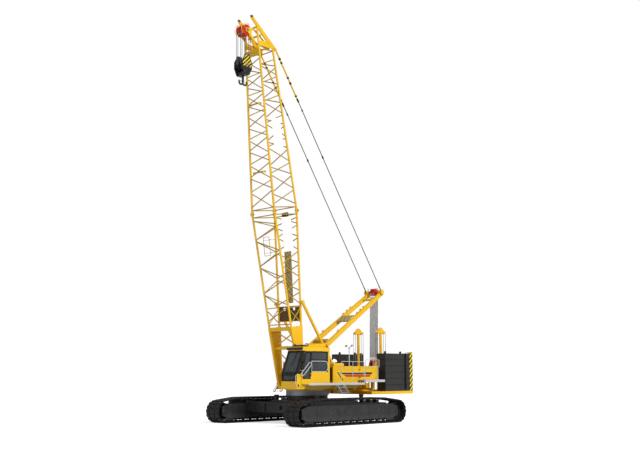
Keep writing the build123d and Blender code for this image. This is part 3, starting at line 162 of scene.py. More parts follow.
# %% [markdown]
# ## Finishes
# Nearly all of a crane is sprayed enamel over plate. Enamel is a glossy plastic coat: it shows
# faint orange peel, fades unevenly, and holds a film of dust in patches. One function makes
# each colour of it from a paint, a faded paint and a dust colour. The pattern sizes are real,
# except for the orange peel, which is a few millimetres wide and is drawn coarser to show. The
# sign boards are given a faint glow of their own, painted light that lifts them to white where
# they stand in shade, and a darker copy of the yellow is painted shade on thin tubes in shade.

# %% Enamel
def enamel(name, paint, faded, dust, dusty=0.25, roughness=0.34, peel_mm=30, peel_depth=0.5,
           low_dust=None, glow=0.0):
    """Sprayed enamel. dusty is the share of film; low_dust is the height that road dust reaches; glow is
    painted light, a faint emission that lifts the surface in shade.
    """
    material, tree, shader, where = start_material(name)
    fade = patches(tree, where, 1400, 4.0, 0.35, 0.70)
    film = patches(tree, where, 260, 6.0, 0.48, 0.78, 0.0, dusty)
    if low_dust:
        height = add(tree, "SeparateXYZ", {0: where}, "Z")
        splash = add(tree, "MapRange", {"Value": height, "From Min": 0.0, "From Max": low_dust,
                                        "To Min": 0.55, "To Max": 0.0})
        film = add(tree, "Math", {"operation": "ADD", "use_clamp": True, 0: film, 1: splash})
    peel = add(tree, "TexNoise", {"Scale": per_metre(peel_mm), "Detail": 2.0, "Vector": where})
    surface(tree, shader, {
        "Base Color": layered(tree, paint, (fade, faded), (film, dust)),
        "Roughness": patches(tree, where, 180, 5.0, 0.3, 0.7, roughness - 0.06, roughness + 0.12),
        "Coat Weight": 0.15, "Coat Roughness": 0.12,
        # The emission is painted light: a glow with no lamp behind it.
        "Emission Color": (1, 1, 1, 1), "Emission Strength": glow,
    }, peel, peel_depth)
    return material


# A darker copy of the crane yellow: painted shade for thin tubes and parts that stand in shade.
painted_shade_yellow = enamel("yellow_enamel_painted_shade", "#BF9A14", "#B38E10", "#7F6B34", 0.15)
crane_yellow = enamel("crane_yellow_enamel", "#FAC80A", "#F5BE08", "#C9A85A", 0.10)
chassis_black = enamel("chassis_charcoal_enamel", "#1E1F21", "#26272A", "#5A554D", 0.18, 0.5,
                       low_dust=0.5)
ballast_grey = enamel("ballast_graphite_enamel", "#212121", "#272726", "#66625B", 0.10, 0.5, 60, 1.0)
sheave_red = enamel("sheave_red_enamel", "#D8230F", "#C42410", "#5B2A20", 0.25, 0.42)
drum_red = enamel("winch_red_enamel", "#A82418", "#8F2216", "#4A2A22", 0.3, 0.45)
hook_black = enamel("hook_black_enamel", "#17181A", "#202123", "#5A564E", 0.12, 0.4)
trim_black = enamel("trim_black_enamel", "#121316", "#1B1C1F", "#4A4741", 0.08, 0.35)
gloss_black = enamel("cab_panel_black_gloss", "#141619", "#1A1C20", "#3A3936", 0.05, 0.12)
rail_grey = enamel("handrail_pale_enamel", "#D0D1D2", "#C4C4C4", "#9C968A", 0.12, 0.38)
# The white boards glow a little: painted light that lifts them to white where they stand in shade.
sign_white = enamel("signboard_white_painted_glow", "#F6F7F7", "#EFF0F0", "#CFCBC0", 0.05, 0.3, glow=0.38)
stripe_red = enamel("stripe_red_enamel", "#D02312", "#C02010", "#8F6B5A", 0.08, 0.35)
frame_silver = enamel("window_frame_silver", "#C9CDD1", "#BFC3C7", "#8F8F8C", 0.08, 0.25)
print("enamels ready")

# %% [markdown]
# ## Bare and worn steel
# Track shoes are cast steel that rubs on the ground, so their paint goes and a brown-grey skin
# stays, darker in the hollows. The slewing ring is machined steel under a film of grease.
# Both are metals, so the default IOR stays and roughness does the work.

# %% Steel
def bare_steel(name, light, dark, rust, rough, grain_mm, rusty, metallic):
    """Cast or rolled steel with a skin of scale and a little rust."""
    material, tree, shader, where = start_material(name)
    scale = patches(tree, where, grain_mm * 6, 5.0, 0.35, 0.68)
    rusted = patches(tree, where, 420, 6.0, 0.52, 0.75, 0.0, rusty)
    gloss = add(tree, "MapRange", {"Value": scale, "To Min": rough, "To Max": rough + 0.2})
    grain = add(tree, "TexNoise", {"Scale": per_metre(grain_mm), "Detail": 4.0, "Vector": where})
    colour = layered(tree, light, (scale, dark), (rusted, rust))
    surface(tree, shader, {"Base Color": colour, "Roughness": gloss, "Metallic": metallic}, grain, 1.0)
    return material


track_steel = bare_steel("track_cast_steel", "#232324", "#1D1D1E", "#453C33", 0.42, 14, 0.45, 0.35)
gear_steel = bare_steel("running_gear_steel", "#232324", "#1E1E1F", "#40372F", 0.5, 12, 0.3, 0.35)
ring_steel = bare_steel("slewing_ring_steel", "#9DA0A4", "#8A8D91", "#6E675E", 0.35, 8, 0.2, 0.8)
bolt_steel = bare_steel("zinc_plated_bolt_steel", "#B5B7B8", "#94979A", "#7C6E58", 0.32, 4, 0.15, 0.9)
engine_iron = bare_steel("engine_cast_iron", "#4B4E50", "#35383A", "#4B3E34", 0.5, 10, 0.3, 0.4)
print("steels ready")

# %% [markdown]
# ## Hazard stripes
# The hook block and the rear corners of the counterweight carry black and yellow warning
# stripes, a hand's breadth wide and slanted at 45 degrees. They are masked and sprayed, so
# their edges are sharp: a sawtooth of the distance across the stripes, cut at half its height.

# %% Hazard stripes
def hazard_stripes(name, across, pitch_mm):
    """Slanted stripes. across is the direction that crosses them, in the object's space."""
    material, tree, shader, where = start_material(name)
    dot = {"operation": "DOT_PRODUCT", 0: where, 1: Vector(across).normalized()}
    along = add(tree, "VectorMath", dot, "Value")
    turns = add(tree, "Math", {"operation": "MULTIPLY", 0: along, 1: per_metre(pitch_mm)})
    saw = add(tree, "Math", {"operation": "FRACT", 0: turns})
    black = add(tree, "Math", {"operation": "GREATER_THAN", 0: saw, 1: 0.5})
    film = patches(tree, where, 200, 5.0, 0.5, 0.8, 0.0, 0.18)
    peel = add(tree, "TexNoise", {"Scale": per_metre(30), "Detail": 2.0, "Vector": where})
    colour = layered(tree, "#F7D21A", (black, "#151515"), (film, "#8C8474"))
    surface(tree, shader, {"Base Color": colour, "Roughness": 0.4}, peel, 0.4)
    return material


block_stripes = hazard_stripes("block_hazard_enamel", (1, 0, 1), 150)
corner_stripes = hazard_stripes("corner_hazard_enamel", (1, -1, 1), 156)
print("hazard stripes ready")

# %% [markdown]
# ## Grating, mesh and wire rope
# Walkways are galvanised bar grating and the catwalk on the boom is rusty expanded mesh. Both
# have a pitch of about 40 mm; it is doubled here so that it shows from the camera. Wave
# textures in two directions give the bars, and their dark gaps read as holes. A wire rope is
# strands wound round each other, so its stripes run across it at an angle; the strand width
# follows the rope's diameter, doubled as well.

# %% Woven and barred finishes
WAVES = 3.2               # bands of a wave texture to one unit of its scale, nearly enough


def barred(name, bar, gap, turn, pitch_mm, metallic, rough):
    """Bars that cross. turn is the rotation of the pattern in radians."""
    material, tree, shader, where = start_material(name)
    lie = add(tree, "Mapping", {"Rotation": turn, "Vector": where})
    heights = []
    for direction, share in (("X", 1.0), ("Y", 0.5)):
        wave = {"bands_direction": direction, "Scale": per_metre(pitch_mm) * share / WAVES, "Vector": lie}
        heights.append(add(tree, "MapRange", {"Value": add(tree, "TexWave", wave, "Fac"),
                                              "From Min": 0.45, "From Max": 0.62}))
    height = add(tree, "Math", {"operation": "MAXIMUM", 0: heights[0], 1: heights[1]})
    speckle = patches(tree, where, 300, 4.0, 0.4, 0.7, 0.0, 0.3)
    colour = layered(tree, gap, (height, bar), (speckle, gap))
    surface(tree, shader, {"Base Color": colour, "Metallic": metallic, "Roughness": rough}, height, 6.0)
    return material


def wire_rope(name, lean, strand_mm, light, dark):
    """Rope strands. lean turns the pattern so that the strands slant across the rope."""
    material, tree, shader, where = start_material(name)
    lie = add(tree, "Mapping", {"Rotation": lean, "Vector": where})
    wave = {"bands_direction": "Z", "Scale": per_metre(strand_mm) / WAVES, "Vector": lie}
    strands = add(tree, "TexWave", wave, "Fac")
    grease = patches(tree, where, 500, 4.0, 0.4, 0.7, 0.0, 0.4)
    colour = layered(tree, dark, (strands, light), (grease, "#5A5752"))
    surface(tree, shader, {"Base Color": colour, "Metallic": 0.6, "Roughness": 0.45}, strands, 4.0)
    return material


MESH_TURN = (0, math.pi / 2, math.pi / 4)
grating = barred("galvanised_bar_grating", "#B4B6B8", "#55575A", (0, 0, 0), 80, 0.5, 0.45)
catwalk_mesh = barred("expanded_steel_mesh", "#C4AC6C", "#897548", MESH_TURN, 90, 0.1, 0.6)
# Dark mesh for the sheets of painted shade in front of the boom's rear plate.
painted_shade_mesh = barred("boom_painted_shade_mesh", "#6B5423", "#2E230F", MESH_TURN, 90, 0.1, 0.6)
luff_rope = wire_rope("luffing_wire_rope", (0.6, 0, 0), 40, "#E3E5EA", "#8A8C92")
pendant_rope = wire_rope("pendant_wire_rope", (0.6, 0.88, 0), 60, "#6E6C66", "#3A3935")
fall_rope = wire_rope("hoist_wire_rope", (0.6, 0, 0), 50, "#8F9093", "#4A4B4D")
print("grating, mesh and ropes ready")

# %% [markdown]
# ## Glass, plastic, cloth and lamps
# Cab glass is tinted and 5 to 6 mm thick, so it shows the cab as a dark room with the seat in
# it. The consoles are moulded plastic with a fine grain. The seat is covered in a coarse grey
# cloth: two waves cross for its weave. Lamps have a clear ribbed lens over a bright dish.

# %% Glass, plastic, cloth and lamps
def tinted_glass(name, tint):
    material, tree, shader, where = start_material(name)
    shade = patches(tree, where, 900, 3.0, 0.3, 0.7, 0.0, 0.3)
    waver = add(tree, "TexNoise", {"Scale": per_metre(600), "Detail": 2.0, "Vector": where})
    surface(tree, shader, {
        "Base Color": layered(tree, tint, (shade, "#1C2226")),
        "Roughness": patches(tree, where, 350, 5.0, 0.45, 0.8, 0.02, 0.12),
        "IOR": 1.5, "Transmission Weight": 0.72,
    }, waver, 0.3)
    return material


def grained_plastic(name, colour, lighter, grain_mm, rough):
    material, tree, shader, where = start_material(name)
    grain = add(tree, "TexNoise", {"Scale": per_metre(grain_mm), "Detail": 3.0, "Vector": where})
    share = add(tree, "MapRange", {"Value": grain, "From Min": 0.35, "From Max": 0.7})
    colour = layered(tree, colour, (share, lighter))
    surface(tree, shader, {"Base Color": colour, "Roughness": rough}, grain, 0.6)
    return material


def woven_cloth(name, warp, weft, thread_mm):
    material, tree, shader, where = start_material(name)
    threads = []
    for way in ("Y", "DIAGONAL"):
        wave = {"bands_direction": way, "Scale": per_metre(thread_mm) / WAVES, "Vector": where}
        threads.append(add(tree, "TexWave", wave, "Fac"))
    weave = add(tree, "Math", {"operation": "MULTIPLY", 0: threads[0], 1: threads[1]})
    colour = layered(tree, weft, (weave, warp))
    surface(tree, shader, {"Base Color": colour, "Roughness": 0.85, "Sheen Weight": 0.3}, weave, 1.0)
    return material


cab_glass = tinted_glass("tinted_cab_glass", "#7D8688")
console_plastic = grained_plastic("moulded_grey_plastic", "#26272A", "#333438", 6, 0.6)
rubber = grained_plastic("black_rubber", "#101113", "#191A1C", 10, 0.75)
seat_cloth = woven_cloth("woven_seat_cloth", "#4A4D55", "#2A2C31", 12)
lens_clear = grained_plastic("ribbed_lamp_lens", "#E9ECEC", "#CDD2D4", 18, 0.15)
lens_amber = grained_plastic("amber_beacon_lens", "#F08A10", "#D87408", 15, 0.2)
print("glass, plastic and cloth ready")

# %% [markdown]
# ## Finishes on the CAD nodes
# The record gives each node a material slot, and each slot gets one finish here. The nodes
# that differ from their slot are named after it.

# %% Finishes on the CAD nodes
FINISH_OF_SLOT = {
    "crane_yellow": crane_yellow, "undercarriage_paint": chassis_black, "track_steel": track_steel,
    "running_gear": gear_steel, "ring_steel": ring_steel, "grating": grating,
    "engine_iron": engine_iron, "counterweight_grey": ballast_grey, "sheave_red": sheave_red,
    "glass": cab_glass, "seat_cloth": seat_cloth, "console_plastic": console_plastic,
    "drum_steel": drum_red, "catwalk_mesh": catwalk_mesh, "sign_white": sign_white,
    "wire_rope": luff_rope, "hook_black": hook_black,
}
# The lacing takes the darker copy of the yellow, which is painted shade.
FINISH_OF_NODE = {"pendant_ropes": pendant_rope, "hook_falls": fall_rope,
                  "boom_lower_lacing": painted_shade_yellow, "boom_upper_lacing": painted_shade_yellow}

for name, node in nodes.items():
    node.data.materials.clear()
    node.data.materials.append(FINISH_OF_NODE.get(name, FINISH_OF_SLOT[slots[name]]))
print("finishes on", len(nodes), "nodes")

# %% [markdown]
# ## Building pieces
# Each new piece is a bmesh: a few `bmesh.ops` shapes, placed by a matrix and bevelled, all in
# one mesh. The object itself stays at the origin with its place in its mesh, as the CAD nodes
# do, so that patterns on object coordinates stay put.

# %% Helpers for pieces
SHARP = math.radians(35)      # an edge bent by more than this is shaded as an edge
SIDES = (-1, 1)               # right, left


def block(bm, corner, opposite, bevel=0.0, turn=None):
    """A box between two corners, its edges bevelled. turn is a matrix that then places it."""
    size = [abs(b - a) for a, b in zip(corner, opposite)]
    middle = [(a + b) / 2 for a, b in zip(corner, opposite)]
    place = Matrix.Translation(middle) @ Matrix.Diagonal((*size, 1))
    made = bmesh.ops.create_cube(bm, size=1, matrix=place)["verts"]
    if bevel:
        edges = {e for v in made for e in v.link_edges}
        cut = bmesh.ops.bevel(bm, geom=list(edges), offset=bevel, segments=2, profile=0.5,
                              affect="EDGES", material=-1)["verts"]
        made = list({v for new in cut for f in new.link_faces for v in f.verts})
    if turn:
        bmesh.ops.transform(bm, matrix=turn, verts=made)
    return made


def bar(bm, start, end, radius, sides=8, end_radius=None, turn=None):
    """A round bar or a cone between two points, which turn may place."""
    start, end = ((turn or Matrix()) @ Vector(point) for point in (start, end))
    run = end - start
    place = Matrix.Translation((start + end) / 2) @ run.to_track_quat("Z", "Y").to_matrix().to_4x4()
    bmesh.ops.create_cone(bm, cap_ends=True, segments=sides, radius1=radius, depth=run.length,
                          radius2=radius if end_radius is None else end_radius, matrix=place)


def pin(bm, place, y0, y1, radius, sides=8, turn=None):
    """A bar along Y at a place given as (x, z)."""
    bar(bm, (place[0], y0, place[1]), (place[0], y1, place[1]), radius, sides, turn=turn)


def ball(bm, point, radius, around, rows):
    bmesh.ops.create_uvsphere(bm, u_segments=around, v_segments=rows, radius=radius,
                              matrix=Matrix.Translation(point))


def rail(bm, points, radius, sides=8, turn=None):
    """A bent tube: bars from point to point, with a ball at each bend."""
    points = [(turn or Matrix()) @ Vector(point) for point in points]
    for start, end in zip(points, points[1:]):
        bar(bm, start, end, radius, sides)
    for point in points[1:-1]:
        ball(bm, point, radius, sides, 6)


def bolt(bm, point, way, radius, height=0.014):
    """A hexagon bolt head standing on a surface."""
    point, way = Vector(point), Vector(way).normalized()
    bar(bm, point, point + way * height, radius, 6)
    bar(bm, point + way * height, point + way * (height + radius * 0.4), radius * 0.55, 6)


def bolt_ring(bm, centre, reach, count, way, radius, height):
    """Bolts on a circle about an axis along Y or Z."""
    for k in range(count):
        a = 2 * math.pi * k / count
        across, up = reach * math.cos(a), reach * math.sin(a)
        shift = (across, up, 0) if way[2] else (across, 0, up)
        bolt(bm, Vector(centre) + Vector(shift), way, radius, height)


def turned(bm, profile, centre, axis="Y", steps=32):
    """Spins a profile of (distance across, radius) about an axis along Y or Z through the centre."""
    verts = [bm.verts.new((0, across, radius)) for across, radius in profile]
    edges = [bm.edges.new(pair) for pair in zip(verts, verts[1:] + verts[:1])]
    bmesh.ops.spin(bm, geom=verts + edges, cent=(0, 0, 0), axis=(0, 1, 0), angle=2 * math.pi,
                   steps=steps, use_merge=True)
    grown, queue = set(verts), list(verts)
    while queue:              # all that hangs together with the profile
        near = {v for e in queue.pop().link_edges for v in e.verts} - grown
        grown |= near
        queue += near
    lie = Matrix.Rotation(math.pi / 2, 4, "X") if axis == "Z" else Matrix()
    bmesh.ops.transform(bm, matrix=Matrix.Translation(centre) @ lie, verts=list(grown))


def plate(bm, outline, shift):
    """A flat plate between an outline and the same outline shifted."""
    rings = [[bm.verts.new(Vector(point) + Vector(shift) * step) for point in outline]
             for step in (0, 1)]
    for ring in rings:
        bm.faces.new(ring)
    for i in range(len(outline)):
        bm.faces.new((rings[0][i - 1], rings[0][i], rings[1][i], rings[1][i - 1]))


def border(bm, outer, inner, shift):
    """A flat frame between two outlines that have the same number of points."""
    rings = [[bm.verts.new(Vector(point) + Vector(shift) * step) for point in ring]
             for ring, step in ((outer, 0), (outer, 1), (inner, 1), (inner, 0))]
    for i in range(len(outer)):
        for one, other in zip(rings, rings[1:] + rings[:1]):
            bm.faces.new((one[i - 1], one[i], other[i], other[i - 1]))


def rectangle(a0, a1, z0, z1):
    return [(a0, z0), (a1, z0), (a1, z1), (a0, z1)]


def on_side(points, y):
    return [(x, y, z) for x, z in points]


def on_front(points, x):
    return [(x, y, z) for y, z in points]


def leaning(x, z, angle):
    """Matrix that turns things about a line along Y."""
    there = Matrix.Translation((x, 0, z))
    return there @ Matrix.Rotation(angle, 4, "Y") @ there.inverted()


def mesh_of(name, bm):
    """The bmesh as a mesh. The bmesh is used up."""
    mesh = bpy.data.meshes.new(name)
    bm.to_mesh(mesh)
    bm.free()
    return mesh


def finish_piece(name, bm, finish, body="upper_structure", smooth=True):
    """Makes the bmesh an object that rides on a body and carries the given finish."""
    bmesh.ops.recalc_face_normals(bm, faces=bm.faces)
    mesh = mesh_of(name, bm)
    if smooth:
        mesh.shade_smooth()
        mesh.set_sharp_from_angle(angle=SHARP)
    mesh.materials.append(finish)
    piece = link(name, mesh)
    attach(piece, body)
    print(name, len(mesh.polygons), "faces on", body)
    return piece


print("piece helpers ready")

# %% [markdown]
# ## Tracks
# A crawler track is a chain of cast shoes, 70 to a side here. Each shoe has flat pads that
# stand on the ground, and on its back two rails for the rollers, a guide horn between them and
# the bosses of its pins. One shoe is made once and copied along the belt line, which is the
# tangent line round four circles: the two end wheels and the two shoulders of the top run.

# %% Belt line of a track
# x, z, radius, in the order that the line goes round
BELT_CIRCLES = ((-3.55, 0.6, 0.6), (3.55, 0.6, 0.6), (2.35, 1.08, 0.26), (-2.35, 1.08, 0.26))
SHOES = 70
TRACK_Y = 2.945           # middle of a track
SHOE_WIDTH, SHOE_GAP = 0.975, 0.022


def on_circle(circle, angle):
    x, z, radius = circle
    return Vector((x + radius * math.cos(angle), z + radius * math.sin(angle)))


def belt_line():
    """Arcs and straight runs of the line: (length, function from distance to point)."""
    following = BELT_CIRCLES[1:] + BELT_CIRCLES[:1]
    leave = []                # the angle at which the line leaves each circle
    for (x1, z1, r1), (x2, z2, r2) in zip(BELT_CIRCLES, following):
        slant = math.asin((r1 - r2) / math.dist((x1, z1), (x2, z2)))
        leave.append(math.atan2(z2 - z1, x2 - x1) - math.pi / 2 + slant)
    line = []
    for i, (circle, after) in enumerate(zip(BELT_CIRCLES, following)):
        start, end = leave[i - 1], leave[i]
        end += 2 * math.pi * math.ceil((start - end) / (2 * math.pi))
        arc = circle[2] * (end - start)
        line.append((arc, lambda d, c=circle, a=start: on_circle(c, a + d / c[2])))
        p, q = on_circle(circle, end), on_circle(after, end)
        line.append(((q - p).length, lambda d, p=p, way=(q - p).normalized(): p + way * d))
    return line


belt = belt_line()
belt_length = sum(length for length, _ in belt)


def belt_at(distance):
    """The point at a distance along the outside of the belt."""
    distance %= belt_length
    for length, point in belt:
        if distance <= length:
            return point(distance)
        distance -= length
    return point(length)


pitch = belt_length / SHOES
print("belt", round(belt_length, 3), "m, a shoe every", round(pitch * 1000), "mm")

# %% One shoe
def one_shoe():
    """A shoe at the origin: x along the belt, y across, z out of the belt, its pads at z 0."""
    bm = bmesh.new()
    half, wide = (pitch - SHOE_GAP) / 2, SHOE_WIDTH / 2
    block(bm, (-half, -wide, -0.062), (half, wide, -0.038), 0.005)
    for y0, y1 in ((-wide, -0.235), (-0.155, 0.155), (0.235, wide)):      # pads
        block(bm, (-half + 0.034, y0, -0.042), (half - 0.034, y1, 0.0), 0.008)
    # roller rails and guides: y, how far they pass the shoe's edge, half width, depth
    for y, past, thick, deep in ((0.1, 0.01, 0.03, 0.115), (0.36, -0.05, 0.02, 0.075)):
        for side in SIDES:
            block(bm, (-half - past, side * y - thick, -deep), (half + past, side * y + thick, -0.044))
    for x in (-half + 0.028, half - 0.028):
        bar(bm, (x, -0.19, -0.085), (x, 0.19, -0.085), 0.026)
    return mesh_of("one_shoe", bm)


shoe = one_shoe()
print("one shoe has", len(shoe.polygons), "faces")

# %% Tracks
for side, name in zip(SIDES, ("right", "left")):
    bm = bmesh.new()
    for i in range(SHOES):
        start = belt_at(i * pitch + SHOE_GAP / 2)
        end = belt_at((i + 1) * pitch - SHOE_GAP / 2)
        (x, z), (middle_x, middle_z) = (end - start).normalized(), (start + end) / 2
        place = Matrix(((x, 0, z, middle_x), (0, -1, 0, side * TRACK_Y),
                        (z, 0, -x, middle_z), (0, 0, 0, 1)))
        before = len(bm.verts)
        bm.from_mesh(shoe)
        bm.verts.ensure_lookup_table()
        bmesh.ops.transform(bm, matrix=place, verts=bm.verts[before:])
    track = finish_piece(f"track_shoes_{name}", bm, track_steel, "undercarriage")
    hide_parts(f"track_{name}")
bpy.data.meshes.remove(shoe)

# %% [markdown]
# ## Track frames, carbody and slewing ring
# The track frames carry hub covers, a ring of bolts on each wheel and on the drive housings,
# lids over their oil fillers and guard plates at their ends. The slewing ring is bolted down
# all round. These are small turned and hexagonal shapes, so a spin and a six-sided cone make
# them.

# %% Hubs, covers and bolts of the undercarriage
WHEEL_X, WHEEL_Z = 3.55, 0.6
FRAME_HALF = 0.275            # half the width of a track frame
RING_BASE = 1.43
HUB = ((0, 0), (0, 0.105), (0.03, 0.1), (0.045, 0.07), (0.05, 0))

hubs, studs = bmesh.new(), bmesh.new()
for side in SIDES:
    middle, outer, lid = (side * (TRACK_Y + out) for out in (0, FRAME_HALF, FRAME_HALF + 0.012))
    for end in SIDES:
        for face in SIDES:
            if (end, face) != (-1, -side):          # the drive housing is there
                hub_y = middle + face * FRAME_HALF
                turned(hubs, [(face * a, r) for a, r in HUB], (end * WHEEL_X, hub_y, WHEEL_Z))
                rim = (end * WHEEL_X, hub_y + face * 0.028, WHEEL_Z)
                bolt_ring(studs, rim, 0.085, 8, (0, face, 0), 0.011, 0.01)
            y0, y1 = middle + face * 0.170, middle + face * 0.216
            block(hubs, (end * 2.80, y0, 0.135), (end * 3.40, y1, 0.35), 0.004)
    drive = (-WHEEL_X, side * (TRACK_Y - FRAME_HALF - 0.26), WHEEL_Z)
    bolt_ring(studs, drive, 0.225, 16, (0, -side, 0), 0.015, 0.014)
    for x in (-2.95, -1.34, 1.08, 2.56):
        block(hubs, (x - 0.022, outer, 0.30), (x + 0.022, outer + side * 0.014, 0.985), 0.004)
    for x in (-2.2, -0.6, 0.3, 1.8):
        block(hubs, (x - 0.26, outer, 0.60), (x + 0.26, lid, 0.86), 0.004)
        for dx, z in rectangle(-0.22, 0.22, 0.63, 0.83):
            bolt(studs, (x + dx, lid, z), (0, side, 0), 0.012, 0.01)
    for x in range(-5, 6):                          # roller pins
        for face in SIDES:
            y = middle + face * FRAME_HALF
            pin(hubs, (x * 0.52, 0.30), y, y + face * 0.02, 0.055, 16)
finish_piece("track_frame_covers", hubs, chassis_black, "undercarriage")
bolt_ring(studs, (0, 0, RING_BASE - 0.0005), 1.04, 60, (0, 0, -1), 0.016, 0.02)
finish_piece("undercarriage_bolts", studs, bolt_steel, "undercarriage")

# %% Ribs and jack heads
ARM_X, ARM_HALF = 1.75, 0.225     # the carbody's arms
JACK_HEAD = ((1.36, 0.113), (1.36, 0.135), (1.44, 0.135), (1.46, 0.1), (1.46, 0.0), (1.36, 0.0))
ribs = bmesh.new()
for end in SIDES:
    arm = end * ARM_X
    for side in SIDES:
        for out in SIDES:
            x = arm + out * ARM_HALF
            for y in (1.15, 1.9, 2.35):
                block(ribs, (x, side * y, 0.60), (x + out * 0.07, side * (y + 0.03), 1.04), 0.004)
        flange = ARM_HALF + 0.05
        block(ribs, (arm - flange, side * 2.55, 0.50), (arm + flange, side * 2.665, 1.14), 0.01)
        turned(ribs, JACK_HEAD, (arm - 0.9, side * 1.5, 0), "Z")
for k in range(12):
    turn = Matrix.Rotation(k * math.pi / 6, 4, "Z")
    block(ribs, (0.93, -0.015, 1.2), (1.12, 0.015, 1.335), 0.003, turn)
finish_piece("carbody_ribs", ribs, chassis_black, "undercarriage")

# %% [markdown]
# ## Cab trim
# The cab's glass sits in black rubber. The pillars between the panes are covered in black
# panels, so that the glass reads as one dark band, and the lower pane behind the door has a
# bright metal frame that runs round its rear end. On the front corner are a looped grab rail
# and the wiper, and on the roof a dark sun visor, work lamps, an air conditioner and a
# beacon. Frames and rails are bent tubes; the flat housings are bevelled boxes.

# %% Cab: sizes
CAB_REAR, CAB_FRONT, CAB_INNER, CAB_OUTER = 0.43, 2.85, 0.95, 2.05
CAB_SILL, CAB_EAVES, CAB_LEAN = 2.56, 3.75, 0.48
DOOR_FACE = 2.101             # outside of the sliding door
DOOR_REAR, DOOR_FRONT = 1.83, 2.55
DOOR_LEAN = 0.28 / 1.145      # its front edge leans back above the sill
PILLAR = 0.09                 # width of the pillars beside the windscreen
PILLAR_LEFT, PILLAR_RIGHT = CAB_OUTER - PILLAR, CAB_INNER + PILLAR
LOWER_PANE, UPPER_PANE = rectangle(0.61, 1.77, 2.69, 3.19), rectangle(0.61, 1.77, 3.27, 3.67)
LOW_SCREEN = rectangle(PILLAR_LEFT, PILLAR_RIGHT, 2.24, 2.50)
WINDOW_LOW, WINDOW_HIGH = 2.62, 3.67


def screen_x(z):
    """Front face of the cab at a height: upright to the sill, then leaning back."""
    return CAB_FRONT - max(0.0, z - CAB_SILL) * CAB_LEAN / (CAB_EAVES - CAB_SILL)


def on_screen(points, out):
    """Points of y and z, this far in front of the windscreen."""
    return [(screen_x(z) + out, y, z) for y, z in points]


def door_edge(z):
    return DOOR_FRONT - DOOR_LEAN * max(0.0, z - CAB_SILL)


def door_outline(low, high, inset, y):
    """Corners of the sliding door between two heights, set in at its front and rear edges."""
    heights = [low, CAB_SILL, high] if low < CAB_SILL else [low, high]
    front = [(door_edge(z) - inset, z) for z in heights]
    return on_side([(DOOR_REAR + inset, low), *front, (DOOR_REAR + inset, high)], y)


def seal(bm, outline, thick, deep, across):
    """A flat strip that follows a closed outline. across is the direction in which it is deep."""
    across = Vector(across) * deep
    for a, b in zip(outline, outline[1:] + outline[:1]):
        run, middle = Vector(b) - Vector(a), (Vector(a) + Vector(b)) / 2
        way = run.normalized()
        axes = (way * (run.length + thick), way.cross(across).normalized() * thick, across)
        rows = [[axis[k] for axis in axes] + [middle[k]] for k in range(3)]
        bmesh.ops.create_cube(bm, size=1, matrix=Matrix(rows + [[0, 0, 0, 1]]))


# %% Cab: black panels over the pillars
SKIN = 0.0005                 # the panels stand off by this
FACE = CAB_OUTER + SKIN
panels = bmesh.new()
for pane, z0, z1 in ((LOWER_PANE, 2.655, 3.23), (UPPER_PANE, 3.23, 3.715)):
    border(panels, on_side(rectangle(0.56, 1.80, z0, z1), FACE), on_side(pane, FACE), (0, 0.002, 0))
corner = [(2.555, 2.56), (screen_x(2.56) + 0.004, 2.56),
          (screen_x(3.715) + 0.004, 3.715), (2.275, 3.715)]
inset = [(2.60, 2.62), (screen_x(2.62) - 0.04, 2.62), (screen_x(3.68) - 0.03, 3.68), (2.32, 3.68)]
border(panels, on_side(corner, FACE), on_side(inset, FACE), (0, 0.004, 0))
plate(panels, on_side(inset, FACE), (0, 0.003, 0))
out = Vector((CAB_EAVES - CAB_SILL, 0, CAB_LEAN)).normalized() * 0.004
SCREEN_PANELS = (          # y, y, z, z on the leaning screen
    (PILLAR_LEFT, CAB_OUTER + 0.004, 2.56, 3.715), (CAB_INNER + 0.004, PILLAR_RIGHT, 2.56, 3.715),
    (PILLAR_RIGHT, PILLAR_LEFT, 2.56, 2.62), (PILLAR_RIGHT, PILLAR_LEFT, 3.67, 3.715),
)
for edges in SCREEN_PANELS:
    plate(panels, on_screen(rectangle(*edges), SKIN), out)
below = rectangle(CAB_OUTER + 0.004, CAB_INNER + 0.004, 2.19, 2.562)
border(panels, on_front(below, CAB_FRONT + SKIN), on_front(LOW_SCREEN, CAB_FRONT + SKIN), (0.004, 0, 0))
finish_piece("cab_pillar_panels", panels, gloss_black, smooth=False)

door_panel = bmesh.new()
border(door_panel, door_outline(2.60, 3.70, 0.004, DOOR_FACE + SKIN),
       door_outline(2.60, 3.62, 0.085, DOOR_FACE + SKIN), (0, 0.004, 0))
edge = [(door_edge(z) + SKIN, y, z) for y, z in rectangle(2.057, 2.1005, 2.56, 3.70)]
plate(door_panel, edge, (0.003, 0, 0))
finish_piece("cab_door_black_panel", door_panel, gloss_black, "cab_sliding_door", smooth=False)

# %% Cab: rubber seals
seals = bmesh.new()
screen = rectangle(PILLAR_LEFT, PILLAR_RIGHT, WINDOW_LOW, WINDOW_HIGH)
inner_side = [(0.61, WINDOW_LOW), (2.69, WINDOW_LOW), (2.25, WINDOW_HIGH), (0.61, WINDOW_HIGH)]
rear = rectangle(PILLAR_LEFT - 0.04, PILLAR_RIGHT + 0.04, WINDOW_LOW, WINDOW_HIGH)
seal(seals, on_screen(screen, 0.004), 0.05, 0.03, (1, 0, 0.4))
seal(seals, on_front(LOW_SCREEN, CAB_FRONT + 0.004), 0.05, 0.03, (1, 0, 0))
for pane in (LOWER_PANE, UPPER_PANE):
    seal(seals, on_side(pane, CAB_OUTER - 0.007), 0.035, 0.02, (0, 1, 0))
seal(seals, on_side(inner_side, CAB_INNER - 0.001), 0.04, 0.02, (0, 1, 0))
seal(seals, on_front(rear, CAB_REAR - 0.002), 0.04, 0.02, (1, 0, 0))
finish_piece("cab_window_seals", seals, rubber)

door_seals = bmesh.new()
seal(door_seals, door_outline(2.32, 3.62, 0.085, DOOR_FACE), 0.035, 0.012, (0, 1, 0))
finish_piece("cab_door_seal", door_seals, rubber, "cab_sliding_door")

